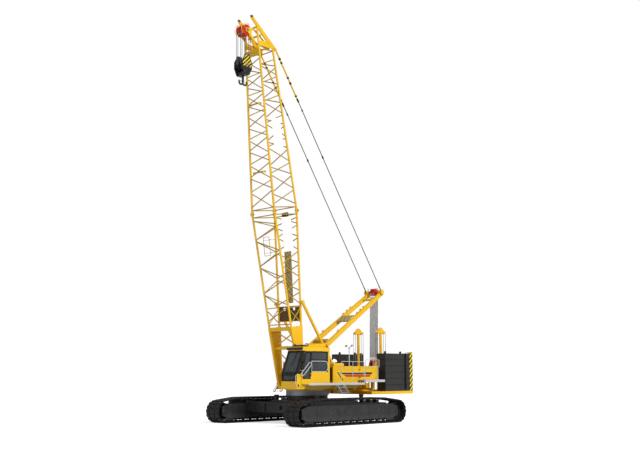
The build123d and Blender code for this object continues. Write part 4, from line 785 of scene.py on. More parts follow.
# %% Cab: bright frame of the lower pane, door handle
bright = bmesh.new()
rounded = [(1.79, 2.66), (1.79, 3.22), (0.74, 3.22), (0.63, 3.19), (0.57, 3.08), (0.56, 2.94),
           (0.57, 2.80), (0.63, 2.69), (0.74, 2.66)]
inner = [(1.175 + (x - 1.175) * 0.94, 2.94 + (z - 2.94) * 0.88) for x, z in rounded]
border(bright, on_side(rounded, CAB_OUTER), on_side(inner, CAB_OUTER), (0, 0.0045, 0))
finish_piece("cab_bright_frame", bright, frame_silver)

handle = bmesh.new()
x, grip = DOOR_REAR + 0.02, ((0.02, 0.008), (0.02, 0.045), (0.10, 0.045), (0.10, 0.008))
block(handle, (x, DOOR_FACE, 2.46), (x + 0.12, DOOR_FACE + 0.012, 2.54), 0.004)
rail(handle, [(x + along, DOOR_FACE + out, 2.50) for along, out in grip], 0.009)
block(handle, (DOOR_REAR + 0.01, DOOR_FACE, 1.98), (DOOR_FRONT - 0.01, DOOR_FACE + 0.008, 2.03), 0.003)
finish_piece("cab_door_handle", handle, trim_black, "cab_sliding_door")

# %% Cab: grab rail, visor, wiper
fittings = bmesh.new()
loop = [(2.60, 2.15, 2.50), (2.62, 2.17, 2.60), (2.06, 2.17, 3.12), (1.94, 2.17, 3.13),
        (1.90, 2.17, 3.03), (2.42, 2.17, 2.52), (2.52, 2.16, 2.47)]
rail(fittings, loop + loop[:1], 0.018)
bar(fittings, (2.60, 2.16, 2.53), (2.60, CAB_OUTER - 0.01, 2.53), 0.012)
bar(fittings, (2.50, 2.17, 2.72), (2.62, CAB_OUTER - 0.01, 2.72), 0.012)
rail(fittings, [(2.88, 2.04, 2.0), (2.93, 2.06, 2.05), (2.93, 2.06, 2.45), (2.88, 2.04, 2.5)], 0.014)
finish_piece("cab_grab_rails", fittings, rail_grey)

visor = bmesh.new()
block(visor, (2.16, 0.98, 3.79), (2.52, 2.03, 3.91), 0.02, leaning(2.3, 3.8, math.radians(9)))
for y in (1.15, 1.85):
    block(visor, (2.20, y - 0.02, 3.76), (2.46, y + 0.02, 3.80), 0.005)
block(visor, (2.10, 1.20, 3.90), (2.34, 1.96, 4.02), 0.03)
finish_piece("cab_sun_visor", visor, trim_black)

wiper = bmesh.new()
arm = ((0.035, 1.30, 2.66), (0.045, 1.48, 3.0), (0.03, 1.62, 3.45))      # out, y, z
rail(wiper, [(screen_x(z) + out, y, z) for out, y, z in arm], 0.009)
rail(wiper, on_screen([(1.60, 3.05), (1.64, 3.62)], 0.02), 0.012, 6)
block(wiper, (screen_x(2.6) + 0.004, 1.24, 2.60), (screen_x(2.6) + 0.05, 1.36, 2.70), 0.01)
finish_piece("cab_wiper", wiper, trim_black)

# %% Lamps, air conditioner, beacon, mirror
POLE = (-1.36, 1.80)          # x, y of the light pole on the left house


def work_lamp(shell, lens, place, way, size=0.075):
    """A square work lamp on a bracket: the shell and its clear lens."""
    place, way = Vector(place), Vector(way).normalized()
    turn = Matrix.Translation(place) @ way.to_track_quat("X", "Z").to_matrix().to_4x4()
    block(shell, (-0.07, -size, -size * 0.8), (0.03, size, size * 0.8), 0.015, turn)
    block(lens, (0.028, -size * 0.85, -size * 0.65), (0.042, size * 0.85, size * 0.65), 0.006, turn)
    bar(shell, place, place + Vector((0, 0, -size * 1.7)), 0.012)


shells, lenses = bmesh.new(), bmesh.new()
for side in SIDES:
    work_lamp(shells, lenses, (2.05, 1.50 + side * 0.45, 4.03), (1, side * 0.2, -0.2))
work_lamp(shells, lenses, (2.78, 2.02, 1.98), (1, 0.2, -0.1))
for dy in (-0.21, 0.21):
    work_lamp(shells, lenses, (POLE[0] + 0.03, POLE[1] + dy, 4.04), (1, dy * 2, -0.5), 0.045)
finish_piece("work_lamp_shells", shells, trim_black)
finish_piece("work_lamp_lenses", lenses, lens_clear)

COWL_REAR, COWL_FRONT, COWL_FALL = 0.50, 1.98, 0.11
roof = bmesh.new()
for v in block(roof, (COWL_REAR, 1.14, 3.925), (COWL_FRONT, 2.00, 4.13), 0.05):
    if v.co.z > 4.0:          # the cowl's top falls towards the front
        v.co.z -= COWL_FALL * (v.co.x - COWL_REAR) / (COWL_FRONT - COWL_REAR)
for k in range(7):            # slots
    x, z = 0.60 + k * 0.1, 4.115 - k * 0.0075
    block(roof, (x, 1.25, z), (x + 0.04, 1.85, z + 0.013), 0.004)
finish_piece("cab_air_conditioner", roof, crane_yellow)

beacon, base = bmesh.new(), bmesh.new()
bulb = [(0, 0), (0, 0.055), (0.10, 0.05), (0.125, 0.03), (0.13, 0)]
turned(beacon, bulb, (0.62, 2.02, 3.96), "Z", 24)
finish_piece("cab_beacon_lens", beacon, lens_amber)
turned(base, [(0, 0), (0, 0.07), (0.04, 0.065), (0.04, 0)], (0.62, 2.02, 3.925), "Z", 24)
rail(base, [(2.55, 2.06, 3.2), (2.62, 2.3, 3.25), (2.62, 2.3, 3.3)], 0.012)
block(base, (2.59, 2.21, 3.28), (2.63, 2.39, 3.62), 0.015)
finish_piece("cab_beacon_base_and_mirror", base, trim_black)

# %% [markdown]
# ## Operator's seat
# The seat is foam under cloth: a cushion and a back with raised side bolsters, each crowned in
# the middle and pulled in at its seams. Each one starts as a box, is cut into a grid, is given
# its crown by moving vertices outwards, and a Subdivision Surface rounds it off.

# %% Seat
CROWN, SEAM = 0.025, 0.03     # how far the middle stands out and the seams are pulled in


def cushion(name, low, high, lean=0.0, bolster=0.035):
    """A crowned seat cushion in a box, leaning back about its lower edge."""
    bm = bmesh.new()
    block(bm, low, high)
    bmesh.ops.subdivide_edges(bm, edges=bm.edges[:], cuts=5, use_grid_fill=True)
    centre = [(a + b) / 2 for a, b in zip(low, high)]
    half = [(b - a) / 2 for a, b in zip(low, high)]
    thin = half.index(min(half))
    wide = [k for k in range(3) if k != thin]
    for v in bm.verts:
        share = [(v.co[k] - centre[k]) / half[k] for k in range(3)]
        if share[thin] > 0.99:
            across = abs(share[1])
            crown = CROWN * (1 - share[wide[0]] ** 2) * (1 - share[wide[1]] ** 2)
            side = bolster * max(0.0, across - 0.55) / 0.45 * (1 - max(0.0, across - 0.85) / 0.3)
            v.co[thin] += crown + side - SEAM
        for k in wide:
            v.co[k] = centre[k] + (v.co[k] - centre[k]) * (1 - 0.04 * abs(share[thin]))
    bmesh.ops.transform(bm, matrix=leaning(low[0], low[2], -lean), verts=bm.verts)
    piece = finish_piece(name, bm, seat_cloth)
    soft = piece.modifiers.new("soft", "SUBSURF")
    soft.levels = soft.render_levels = 2
    return piece


base_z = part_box("operator_seat")[0][2]
seat = cushion("seat_cushion", (1.0, 1.26, base_z + 0.33), (1.50, 1.74, base_z + 0.46))
cushion("seat_back", (0.92, 1.27, base_z + 0.44), (1.04, 1.73, base_z + 1.06), 0.14)
cushion("seat_headrest", (0.83, 1.37, base_z + 1.02), (0.93, 1.63, base_z + 1.2), 0.14, 0.0)
stand = bmesh.new()
block(stand, (1.07, 1.34, base_z), (1.38, 1.66, base_z + 0.05), 0.01)
for k in range(4):            # the bellows
    shrink, z = k * 0.004, base_z + k * 0.07
    block(stand, (1.09 + shrink, 1.36, z + 0.05), (1.36 - shrink, 1.64, z + 0.10), 0.02)
block(stand, (0.99, 1.29, base_z + 0.30), (1.46, 1.71, base_z + 0.335), 0.008)
finish_piece("seat_suspension", stand, rubber)
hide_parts("operator_seat")

# %% Levers, screen and armrests
controls = bmesh.new()
top = base_z + 0.62
for y in (1.1, 1.9):
    block(controls, (1.15, y - 0.06, top), (1.5, y + 0.06, top + 0.04), 0.015)
    bar(controls, (1.56, y, top), (1.60, y, top + 0.2), 0.012)
    ball(controls, (1.605, y, top + 0.22), 0.03, 12, 8)
bar(controls, (2.25, 1.20, 1.92), (2.25, 1.20, 2.75), 0.02)
block(controls, (2.22, 1.08, 2.72), (2.27, 1.34, 2.92), 0.01)
finish_piece("cab_levers_and_screen", controls, console_plastic)

# %% [markdown]
# ## Machinery houses and walkways
# Each house carries a black band over a red one, louvres let into its end walls, latches on its
# service door and ribs over its roof. The walkways are edged by pale kick plates and tubular
# handrails. All flat parts are thin plates or bevelled boxes and all rails are bent tubes.

# %% Houses: sizes
HOUSE_REAR, HOUSE_FRONT, HOUSE_INNER, HOUSE_OUTER, HOUSE_TOP = -3.65, -0.05, 1.08, 1.85, 2.96
SPLIT, HATCH_FRONT = -2.053, -2.062      # ends of the bands beside the door's front edge
SLAT_PITCH, SLAT_TILT = 0.06, math.radians(35)
WALK_EDGE = 2.37
DOORS = {1: "engine_door", -1: "hydraulics_door"}
NAMES = {1: "left", -1: "right"}
# piece, finish, whether it rides on the door, outlines of x and z
BANDS = (
    ("house_black_band", trim_black, False,
     ([(-0.55, 2.64), (-0.78, 2.53), (SPLIT, 2.53), (SPLIT, 2.64)],
      [(-0.34, 2.64), (-0.43, 2.64), (-0.85, 2.22), (-0.76, 2.22)])),
    ("house_red_band", stripe_red, False,
     ([(-0.86, 2.505), (-1.07, 2.40), (SPLIT, 2.40), (SPLIT, 2.505)],)),
    ("hatch_black_band", trim_black, True,
     ([(HATCH_FRONT, 2.64), (HATCH_FRONT, 2.53), (-3.12, 2.53), (-3.20, 2.64)],)),
    ("hatch_red_band", stripe_red, True,
     ([(HATCH_FRONT, 2.505), (HATCH_FRONT, 2.40), (-2.98, 2.40), (-3.06, 2.505)],)),
)


def louvres(bm, x, y0, y1, z0, z1, face):
    """Slats on an end wall whose outside looks along x, between two uprights."""
    count = round((z1 - z0) / SLAT_PITCH)
    for i in range(count):
        z = z0 + (i + 0.5) * (z1 - z0) / count
        tilt = leaning(x, z, face * SLAT_TILT)
        block(bm, (x - 0.004, y0, z - 0.028), (x + 0.004, y1, z + 0.028), turn=tilt)
    for y in (y0 - 0.03, y1):
        block(bm, (x - 0.02, y, z0 - 0.02), (x + 0.02, y + 0.03, z1 + 0.02), 0.003)


# %% Houses: bands, latches, louvres, roof ribs
grilles, caps = bmesh.new(), bmesh.new()
for side in SIDES:
    name, face = NAMES[side], side * HOUSE_OUTER
    for piece, finish, on_door, outlines in BANDS:
        band = bmesh.new()
        for outline in outlines:
            plate(band, on_side(outline, face), (0, side * 0.003, 0))
        body = DOORS[side] if on_door else "upper_structure"
        finish_piece(f"{piece}_{name}", band, finish, body, smooth=False)
    latch = bmesh.new()
    for z in (2.36, 2.78):
        block(latch, (-2.20, face, z - 0.03), (-2.09, face + side * 0.012, z + 0.03), 0.004)
        y0, y1 = face + side * 0.010, face + side * 0.026
        block(latch, (-2.19, y0, z - 0.012), (-2.12, y1, z + 0.018), 0.004)
    finish_piece(f"hatch_latches_{name}", latch, trim_black, DOORS[side])

    y0, y1 = sorted((side * (HOUSE_INNER + 0.12), side * (HOUSE_OUTER - 0.12)))
    louvres(grilles, HOUSE_REAR - 0.012, y0, y1, 2.32, 2.86, -1)
    louvres(grilles, HOUSE_FRONT + 0.012, y0, y1, 2.15, 2.86, 1)
    y0, y1 = side * (HOUSE_INNER + 0.03), side * (HOUSE_OUTER - 0.03)
    for x in (-3.3, -2.7, -2.1, -1.5, -0.9, -0.3):
        block(caps, (x - 0.03, y0, HOUSE_TOP - 0.005), (x + 0.03, y1, HOUSE_TOP + 0.022), 0.006)
    y0, y1 = side * HOUSE_INNER, side * HOUSE_OUTER
    for x in (HOUSE_REAR + 0.001, HOUSE_FRONT - 0.001):
        block(caps, (x - 0.012, y0, HOUSE_TOP - 0.06), (x + 0.012, y1, HOUSE_TOP + 0.012), 0.004)
block(caps, (-0.95, 1.14, HOUSE_TOP), (-0.18, 1.80, HOUSE_TOP + 0.16), 0.04)
block(caps, (-0.95, -1.80, HOUSE_TOP), (-0.30, -1.14, HOUSE_TOP + 0.10), 0.04)
finish_piece("house_grilles", grilles, trim_black)
finish_piece("house_roof_ribs", caps, crane_yellow)


# %% Exhaust, filter and fillers on the roofs
def upright(bm, x, y, z0, z1, radius, sides=16, end_radius=None):
    bar(bm, (x, y, z0), (x, y, z1), radius, sides, end_radius)


pipes = bmesh.new()
exhaust = [(-1.42, 1.62, HOUSE_TOP), (-1.42, 1.62, 3.18), (-1.50, 1.64, 3.30), (-1.62, 1.66, 3.34)]
rail(pipes, exhaust, 0.055, 16)
upright(pipes, -1.42, 1.62, HOUSE_TOP, HOUSE_TOP + 0.03, 0.10, 20)
upright(pipes, -2.15, 1.50, HOUSE_TOP, 3.14, 0.045)
upright(pipes, -2.15, 1.50, 3.10, 3.22, 0.11, 20)
upright(pipes, -2.15, 1.50, 3.22, 3.26, 0.11, 20, 0.05)
block(pipes, (-2.05, 1.30, HOUSE_TOP), (-1.72, 1.72, 3.20), 0.03)
block(pipes, (-1.30, 1.30, HOUSE_TOP), (-1.06, 1.70, 3.12), 0.03)
bar(pipes, (-2.00, 1.51, 3.26), (-1.10, 1.51, 3.16), 0.05, 16)
for x, y in ((-2.9, 1.4), (-2.9, -1.4), (-1.6, -1.45)):
    upright(pipes, x, y, HOUSE_TOP, HOUSE_TOP + 0.05, 0.07)
    upright(pipes, x, y, HOUSE_TOP + 0.05, HOUSE_TOP + 0.08, 0.085, 16, 0.07)
finish_piece("roof_exhaust_and_fillers", pipes, trim_black)

cone = bmesh.new()
dome = [(0, 0), (0, 0.15), (0.05, 0.145), (0.11, 0.10), (0.15, 0.045), (0.165, 0)]
turned(cone, dome, (-0.56, 1.45, 3.18), "Z", 24)
upright(cone, -0.56, 1.45, 3.10, 3.19, 0.03, 10)
# The dome takes the boards' white enamel, whose faint glow is painted light.
finish_piece("satellite_dome", cone, sign_white)

# %% Light pole
pole = bmesh.new()
x, y = POLE
upright(pole, x, y, HOUSE_TOP - 0.005, HOUSE_TOP + 0.02, 0.07, 12)
upright(pole, x, y, HOUSE_TOP, 3.95, 0.022, 10)
for way in SIDES:
    arm = ((0, 0, 3.86), (0.01, 0.08, 3.99), (0.02, 0.17, 4.03), (0.03, 0.21, 3.99))
    rail(pole, [(x + dx, y + way * dy, z) for dx, dy, z in arm], 0.014)
finish_piece("lamp_pole", pole, rail_grey)

# %% Walkways: kick plates, handrails, grab loops by the ladders
# The service doors swing out over the rear stretch, so its kick plates stay under them and its
# rails above them, held by a post at each end of the doors' sweep.
FRONT_FLOOR, REAR_FLOOR, REAR_RAIL = 2.03, 2.23, 2.96
FRONT_RAIL = [(-1.95, FRONT_FLOOR), (-1.95, 3.15), (-1.90, 3.20),
              (-0.20, 3.20), (-0.15, 3.15), (-0.15, FRONT_FLOOR)]
GRAB_LOOP = ((0.10, 1.975), (0.12, 1.90), (0.35, 1.66), (0.36, 1.60), (0.30, 1.585), (0.27, 1.60))
kick, rails, loops = bmesh.new(), bmesh.new(), bmesh.new()
for side, front, ladder in ((-1, 0.03, 0.0), (1, 2.28, 0.225)):
    inner, outer = side * (WALK_EDGE - 0.012), side * (WALK_EDGE + 0.002)
    block(kick, (-1.98, inner, 1.985), (front, outer, 2.10), 0.003)
    block(kick, (-3.64, inner, 2.12), (-2.0, outer, 2.25), 0.003)
    block(kick, (-3.655, side * 1.86, 2.12), (-3.643, side * WALK_EDGE, 2.25), 0.003)
    y, back = side * (WALK_EDGE - 0.03), side * 1.92
    rail(rails, on_side(FRONT_RAIL, y), 0.014)
    bar(rails, (-1.95, y, 2.62), (-0.15, y, 2.62), 0.011)
    upright(rails, -1.05, y, FRONT_FLOOR, 3.20, 0.013, 8)
    rear = on_side([(-2.05, REAR_FLOOR), (-2.05, 3.25), (-2.10, 3.30), (-3.20, 3.30)], y)
    rear += [(-3.58, back + side * 0.02, 3.30), (-3.60, back, 3.25), (-3.60, back, REAR_FLOOR)]
    rail(rails, rear, 0.014)
    rail(rails, [(-2.05, y, REAR_RAIL), (-3.20, y, REAR_RAIL), (-3.60, back, REAR_RAIL)], 0.011)
    for x in (-2.70, -3.20):
        upright(rails, x, y, REAR_RAIL, 3.30, 0.012, 8)
    feet = [(x, y, FRONT_FLOOR) for x in (-1.95, -1.05, -0.15)]
    for x, across, z in feet + [(-2.05, y, REAR_FLOOR), (-3.60, back, REAR_FLOOR)]:
        block(rails, (x - 0.04, across - 0.028, z), (x + 0.04, across + 0.028, z + 0.012), 0.003)
    for x in (ladder - 0.536, ladder - 0.024):
        rail(loops, [(x, side * (WALK_EDGE - 0.048 + out), z) for out, z in GRAB_LOOP], 0.015)
finish_piece("walkway_kick_plates", kick, rail_grey)
finish_piece("handrails", rails, rail_grey)
finish_piece("ladder_grab_loops", loops, rail_grey)

# %% [markdown]
# ## Machinery on the revolving frame
# Between the houses stand the swing drives, a valve block with its hoses and a row of pipes.
# The drums are wound with rope: a turned profile with one ridge to each turn.

# %% Swing drives, valves, hoses
DRIVE_X = 0.42
SWING_DRIVE = ((1.60, 0), (1.60, 0.20), (1.66, 0.20), (1.66, 0.15), (2.05, 0.15), (2.05, 0.18),
               (2.10, 0.18), (2.12, 0.10), (2.38, 0.10), (2.40, 0))
# distance to the front, share of the y, height
VALVE_HOSE = ((-1.02, 1, 2.38), (-0.96, 1, 2.44), (-0.90, 1.6, 2.30), (-0.88, 2.2, 2.0),
              (-0.88, 2.4, 1.66))
DRIVE_HOSE = ((DRIVE_X, 0.28, 2.39), (DRIVE_X, 0.34, 2.48), (0.30, 0.44, 2.45), (0.22, 0.50, 2.1),
              (0.20, 0.52, 1.66))
machines, hoses = bmesh.new(), bmesh.new()
block(machines, (-1.30, -0.22, 2.0), (-0.96, 0.22, 2.30), 0.02)
for k in range(6):
    y = -0.18 + k * 0.07
    block(machines, (-1.26, y - 0.02, 2.30), (-1.0, y + 0.02, 2.40), 0.008)
    rail(hoses, [(x, y * share, z) for x, share, z in VALVE_HOSE], 0.016)
for side in SIDES:
    turned(machines, SWING_DRIVE, (DRIVE_X, side * 0.28, 0), "Z", 28)
    bolt_ring(machines, (DRIVE_X, side * 0.28, 1.66), 0.18, 10, (0, 0, 1), 0.014, 0.012)
    for k in range(4):        # pipes along the frame
        y, z = side * (0.72 + 0.005 * k), 1.72 + k * 0.07
        bar(hoses, (-2.6, y, z), (0.95, y, z), 0.014)
    rail(hoses, [(x, side * y, z) for x, y, z in DRIVE_HOSE], 0.018)
finish_piece("swing_drives_and_valves", machines, engine_iron)
finish_piece("hydraulic_hoses", hoses, rubber)

# %% Rope on the drums
BARREL, HALF_BARREL, DRUM_Z = 0.27, 0.515, 2.33
RIDGE = [1.35 * a for a in (-0.9, -0.45, 0.0, 0.45, 0.9)]      # angles round one turn of rope
# body, x, turns, radius of the rope
DRUMS = (("front_hoist", -0.35, 36, 0.0143), ("rear_hoist", -1.9, 36, 0.0143),
         ("luffing_winch", -3.05, 46, 0.0112))
for body, x, turns, thick in DRUMS:
    wound, studs = bmesh.new(), bmesh.new()
    first, step = thick - HALF_BARREL, 2 * (HALF_BARREL - thick) / (turns - 1)
    ridges = [(first + k * step + thick * math.sin(a), BARREL + thick * (0.35 + math.cos(a)))
              for k in range(turns) for a in RIDGE]
    ends = [(end * HALF_BARREL, BARREL - 0.02) for end in SIDES]
    turned(wound, [ends[0], *ridges, ends[1]], (x, 0, DRUM_Z), "Y", 48)
    finish_piece(f"rope_on_{body}", wound, fall_rope, body)
    for side in SIDES:
        bolt_ring(studs, (x, side * HALF_BARREL, DRUM_Z), 0.33, 12, (0, -side, 0), 0.014, 0.012)
    finish_piece(f"flange_bolts_{body}", studs, bolt_steel, body)

# %% [markdown]
# ## Counterweight
# Two stacks of slabs are strapped down by flat bars, with lifting lugs on top and striped plates
# at the rear corners. Each of the two posts carries a pair of chain wheels, with their chains.

# %% Straps, lugs, striped corner plates
TRAY_TOP_Z, STACK_TOP, STACK_REAR, TRAY_REAR_X = 1.61, 3.686, -6.23, -6.52
CORNER_TOP = 3.78
STRAP_X, STRAP_HALF = -5.80, 0.045
LUG = ((-0.028, 0.03), (-0.028, 0.065), (0.028, 0.065), (0.028, 0.03))
straps, lugs, corners = bmesh.new(), bmesh.new(), bmesh.new()
x0, x1 = STRAP_X - STRAP_HALF, STRAP_X + STRAP_HALF
for side in SIDES:
    for y, outside in ((2.05, 2.062), (1.40, 1.388)):
        block(straps, (x0, side * y, TRAY_TOP_Z), (x1, side * outside, STACK_TOP + 0.012), 0.003)
    block(straps, (x0, side * 1.388, STACK_TOP), (x1, side * 2.062, STACK_TOP + 0.014), 0.003)
    y = side * 1.725
    for x in (STRAP_X, -4.45):
        block(lugs, (x - 0.09, y - 0.02, STACK_TOP), (x + 0.09, y + 0.02, STACK_TOP + 0.07), 0.015)
        turned(lugs, LUG, (x, y, STACK_TOP + 0.07), steps=20)
    rear = (TRAY_REAR_X + 0.01, side * 2.02, TRAY_TOP_Z)
    block(corners, rear, (STACK_REAR - 0.02, side * 2.05, CORNER_TOP), 0.004)
    block(corners, rear, (TRAY_REAR_X + 0.04, side * 1.70, CORNER_TOP), 0.004)
upright(straps, -5.86, 2.095, 1.70, 3.74, 0.035)
for z in (1.72, 2.4, 3.1, 3.68):
    block(straps, (-5.92, 2.045, z - 0.02), (-5.80, 2.10, z + 0.02), 0.004)
finish_piece("counterweight_straps", straps, trim_black)
finish_piece("counterweight_lugs", lugs, hook_black)
finish_piece("counterweight_corner_plates", corners, corner_stripes)

# %% Post wheels and chains
POST_X, WHEEL_TOP = -5.12, 4.90
CHAIN_WHEEL = ((-0.012, 0), (-0.012, 0.085), (-0.004, 0.07), (0.004, 0.07), (0.012, 0.085), (0.012, 0))
LINKS, LINK_PITCH = 58, 0.055
wheels, chains = bmesh.new(), bmesh.new()
for side in SIDES:
    for way in SIDES:
        x, y = POST_X + way * 0.27, side * 0.85
        pin(wheels, (x, WHEEL_TOP), y - 0.1, y + 0.1, 0.022, 10)
        for face in SIDES:
            xc, yc = x + way * 0.068, y + face * 0.078
            turned(wheels, CHAIN_WHEEL, (x, yc, WHEEL_TOP), steps=24)
            for k in range(LINKS):
                z = 4.88 - k * LINK_PITCH
                wide, deep = (0.017, 0.005) if k % 2 else (0.005, 0.017)
                block(chains, (xc - wide, yc - deep, z - 0.036), (xc + wide, yc + deep, z + 0.004))
finish_piece("post_wheels", wheels, crane_yellow)
finish_piece("post_chains", chains, bolt_steel)

# %% [markdown]
# ## Boom, mast and hook
# The boom and the mast each get a slanted frame of their own, in which a place is (distance
# to the front, y, distance along). The boom has pins and bolts where its sections meet and
# at its foot, a light frame for cable reels on its front face, two blank boards on its left
# face, rope rollers, a rope guard over its sheaves and a cap on the tip of each arm. The mast
# carries a small mesh platform between its beams, brackets, and keepers that hold the ropes in
# their sheaves. The pendants have connectors, and round covers at their lower ends.

# %% Slanted frames
def slanted(foot, degrees):
    """Matrix from (to the front, y, along) on a slanting member to the shared frame."""
    run, rise = math.cos(math.radians(degrees)), math.sin(math.radians(degrees))
    return Matrix([[rise, 0, run, foot[0]], [0, 1, 0, 0], [-run, 0, rise, foot[1]], [0, 0, 0, 1]])


BOOM = slanted((1.25, 1.95), 82.04)
MAST = slanted((0.95, 3.10), 147.336)
JOINT_S, TOP_S = 9.18, 18.0


def between(s, low, high, s0, s1):
    return low + (high - low) * (s - s0) / (s1 - s0)


def boom_half(s):
    """Half the boom's width and half its depth, to the chords' centres."""
    if s < JOINT_S:
        return between(s, 0.815, 0.857, 0, JOINT_S), between(s, 0.139, 0.822, 0, JOINT_S)
    return between(s, 0.857, 0.512, JOINT_S, TOP_S), between(s, 0.822, 0.500, JOINT_S, TOP_S)


# %% Boom: joint pins, foot pins, reel frame, sheets of painted shade
pins = bmesh.new()
wide, deep = boom_half(JOINT_S)
s = JOINT_S - 0.005
for face in SIDES:
    for side in SIDES:
        d, y = face * deep, side * wide
        pin(pins, (d, s), y - 0.13, y + 0.13, 0.028, 16, BOOM)
        for step in SIDES:
            pin(pins, (d, s), y + step * 0.098, y + step * 0.118, 0.045, 16, BOOM)
            clip = y + step * 0.123
            bar(pins, (d - 0.04, clip, s), (d + 0.04, clip, s), 0.006, 6, turn=BOOM)
finish_piece("boom_joint_pins", pins, bolt_steel, "boom")

foot = bmesh.new()
for side in SIDES:
    pin(foot, (1.25, 1.95), side * 0.915, side * 0.935, 0.10, 32)
    bolt_ring(foot, (1.25, side * 0.935, 1.95), 0.075, 6, (0, side, 0), 0.012, 0.010)
finish_piece("boom_foot_pin_covers", foot, bolt_steel)

REEL_LOW, REEL_HIGH = 6.90, 7.88
reels = bmesh.new()
d = boom_half(REEL_LOW)[1] + 0.135
for s in (REEL_LOW, (REEL_LOW + REEL_HIGH) / 2, REEL_HIGH):
    pin(reels, (d, s), -0.22, 0.22, 0.012, turn=BOOM)
for y in (-0.22, 0.22):
    bar(reels, (d, y, REEL_LOW), (d, y, REEL_HIGH), 0.014, turn=BOOM)
    for s in (REEL_LOW + 0.15, REEL_HIGH - 0.15):
        bar(reels, (boom_half(s)[1] - 0.4, y, s), (d, y, s), 0.010, turn=BOOM)
# The reel frame takes the darker yellow, which is painted shade.
finish_piece("boom_reel_frame", reels, painted_shade_yellow, "boom")

# y, y, along, along: dark sheets of painted shade in front of the plate, with gaps at its two holes
SHADE_PANELS = ((-0.74, 0.74, 3.36, 3.91), (-0.74, -0.45, 3.91, 4.09), (-0.27, 0.27, 3.91, 4.09),
          (0.45, 0.74, 3.91, 4.09), (-0.74, 0.74, 4.09, 4.14))
screen = bmesh.new()
for y0, y1, s0, s1 in SHADE_PANELS:
    for v in block(screen, (0.0, y0, s0), (0.018, y1, s1)):
        v.co.x += 0.015 - boom_half(v.co.z)[1]
        v.co = BOOM @ v.co
# One more dark sheet of painted shade, on the rear face by the joint.
block(screen, (-0.80, -0.23, 8.93), (-0.74, 0.23, 9.16), 0.01, BOOM)
finish_piece("boom_painted_shade_sheets", screen, painted_shade_mesh, "boom")

# %% Boom: sign boards
# from, to along the boom, middle and width: they stand just outside the lacing of the left face
BOARDS = ((7.11, 8.82, 0.07, 0.64), (12.30, 14.12, -0.04, 0.61))
boards = bmesh.new()
for s0, s1, middle, wide in BOARDS:
    for v in block(boards, (middle - wide / 2, 0.0285, s0), (middle + wide / 2, 0.0535, s1), 0.003):
        v.co.y += boom_half(v.co.z)[0]
        v.co = BOOM @ v.co
# The boards' faint glow is painted light that lifts them to white in shade.
boards = finish_piece("boom_side_boards", boards, sign_white, "boom")
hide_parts("boom_sign_boards")

# %% Boom: rope rollers
rollers, brackets = bmesh.new(), bmesh.new()
for s in (11.31, 14.95):
    d = boom_half(s)[1] + 0.16
    pin(rollers, (d, s), -0.34, 0.34, 0.04, 24, BOOM)
    pin(brackets, (d, s), -0.38, 0.38, 0.02, 12, BOOM)
    for y in (-0.37, 0.37):
        block(brackets, (d - 0.19, y - 0.012, s - 0.06), (d + 0.04, y + 0.012, s + 0.06), 0.004, BOOM)
# The rollers take the darker yellow, which is painted shade.
finish_piece("boom_rope_rollers", rollers, painted_shade_yellow, "boom")
finish_piece("boom_roller_brackets", brackets, crane_yellow, "boom")

# %% Boom head: sheave guard, bolts, caps on the arms
AXLE_D, AXLE_S = 1.03, 18.87      # axle of the point sheaves
GUARD_REACH, GUARD_HALF = 0.37, 0.29


def guard_at(degrees, y):
    a = math.radians(degrees)
    return AXLE_D + GUARD_REACH * math.cos(a), y, AXLE_S + GUARD_REACH * math.sin(a)


guard, nuts, caps = bmesh.new(), bmesh.new(), bmesh.new()
for k in (-30, 45, 120):
    bar(guard, guard_at(k, -GUARD_HALF), guard_at(k, GUARD_HALF), 0.012, turn=BOOM)
for side in SIDES:
    rail(guard, [guard_at(k, side * 0.27) for k in range(-30, 121, 15)], 0.014, turn=BOOM)
    y = side * GUARD_HALF
    bar(guard, (AXLE_D, y, AXLE_S), guard_at(45, y), 0.012, turn=BOOM)
    pin(nuts, (AXLE_D, AXLE_S), side * 0.325, side * 0.35, 0.085, 6, BOOM)
    pin(nuts, (0.82, 19.56), side * 0.46, side * 0.545, 0.03, 16, BOOM)
    for d, s in ((-0.30, 18.20), (-0.15, 18.20), (-0.25, 18.30)):
        bolt(nuts, BOOM @ Vector((d, side * 0.532, s)), (0, side, 0), 0.016)
    bar(caps, (0.81, side * 0.50, 19.53), (0.83, side * 0.50, 19.63), 0.07, 20, turn=BOOM)
finish_piece("boom_head_rope_guard", guard, crane_yellow, "boom")
finish_piece("boom_head_bolts", nuts, bolt_steel, "boom")
finish_piece("boom_tip_lamps", caps, trim_black, "boom")

# %% Mast: platform, brackets, keepers
MIDDLE = -0.13                # of the mast's beams, in its own frame
LENGTH = 7.745                # from the foot pins to the axle of the head sheaves


def mast_half(s):
    return between(s, 0.644, 0.452, 0.6, 7.895)


platform, steps, cross, keepers, nuts = (bmesh.new() for _ in range(5))
reach = mast_half(4.8) - 0.10
block(platform, (MIDDLE + 0.115, -reach, 4.46), (MIDDLE + 0.135, reach, 5.06), 0.004, MAST)
for s in (4.46, 5.06):
    block(platform, (MIDDLE + 0.06, -reach, s - 0.02), (MIDDLE + 0.13, reach, s + 0.02), 0.004, MAST)
for s in (5.25, 5.60, 5.95, 1.35, 3.30):
    for side in SIDES:
        y0, y1, outer = side * mast_half(s) - 0.05, side * mast_half(s) + 0.05, MIDDLE + 0.20
        block(steps, (MIDDLE + 0.110, y0, s - 0.02), (outer, y1, s + 0.02), 0.004, MAST)
        block(steps, (outer - 0.015, y0, s - 0.07), (outer, y1, s + 0.07), 0.004, MAST)
reach = mast_half(2.35) - 0.10
block(cross, (MIDDLE, -reach, 2.24), (MIDDLE + 0.16, reach, 2.46), 0.01, MAST)
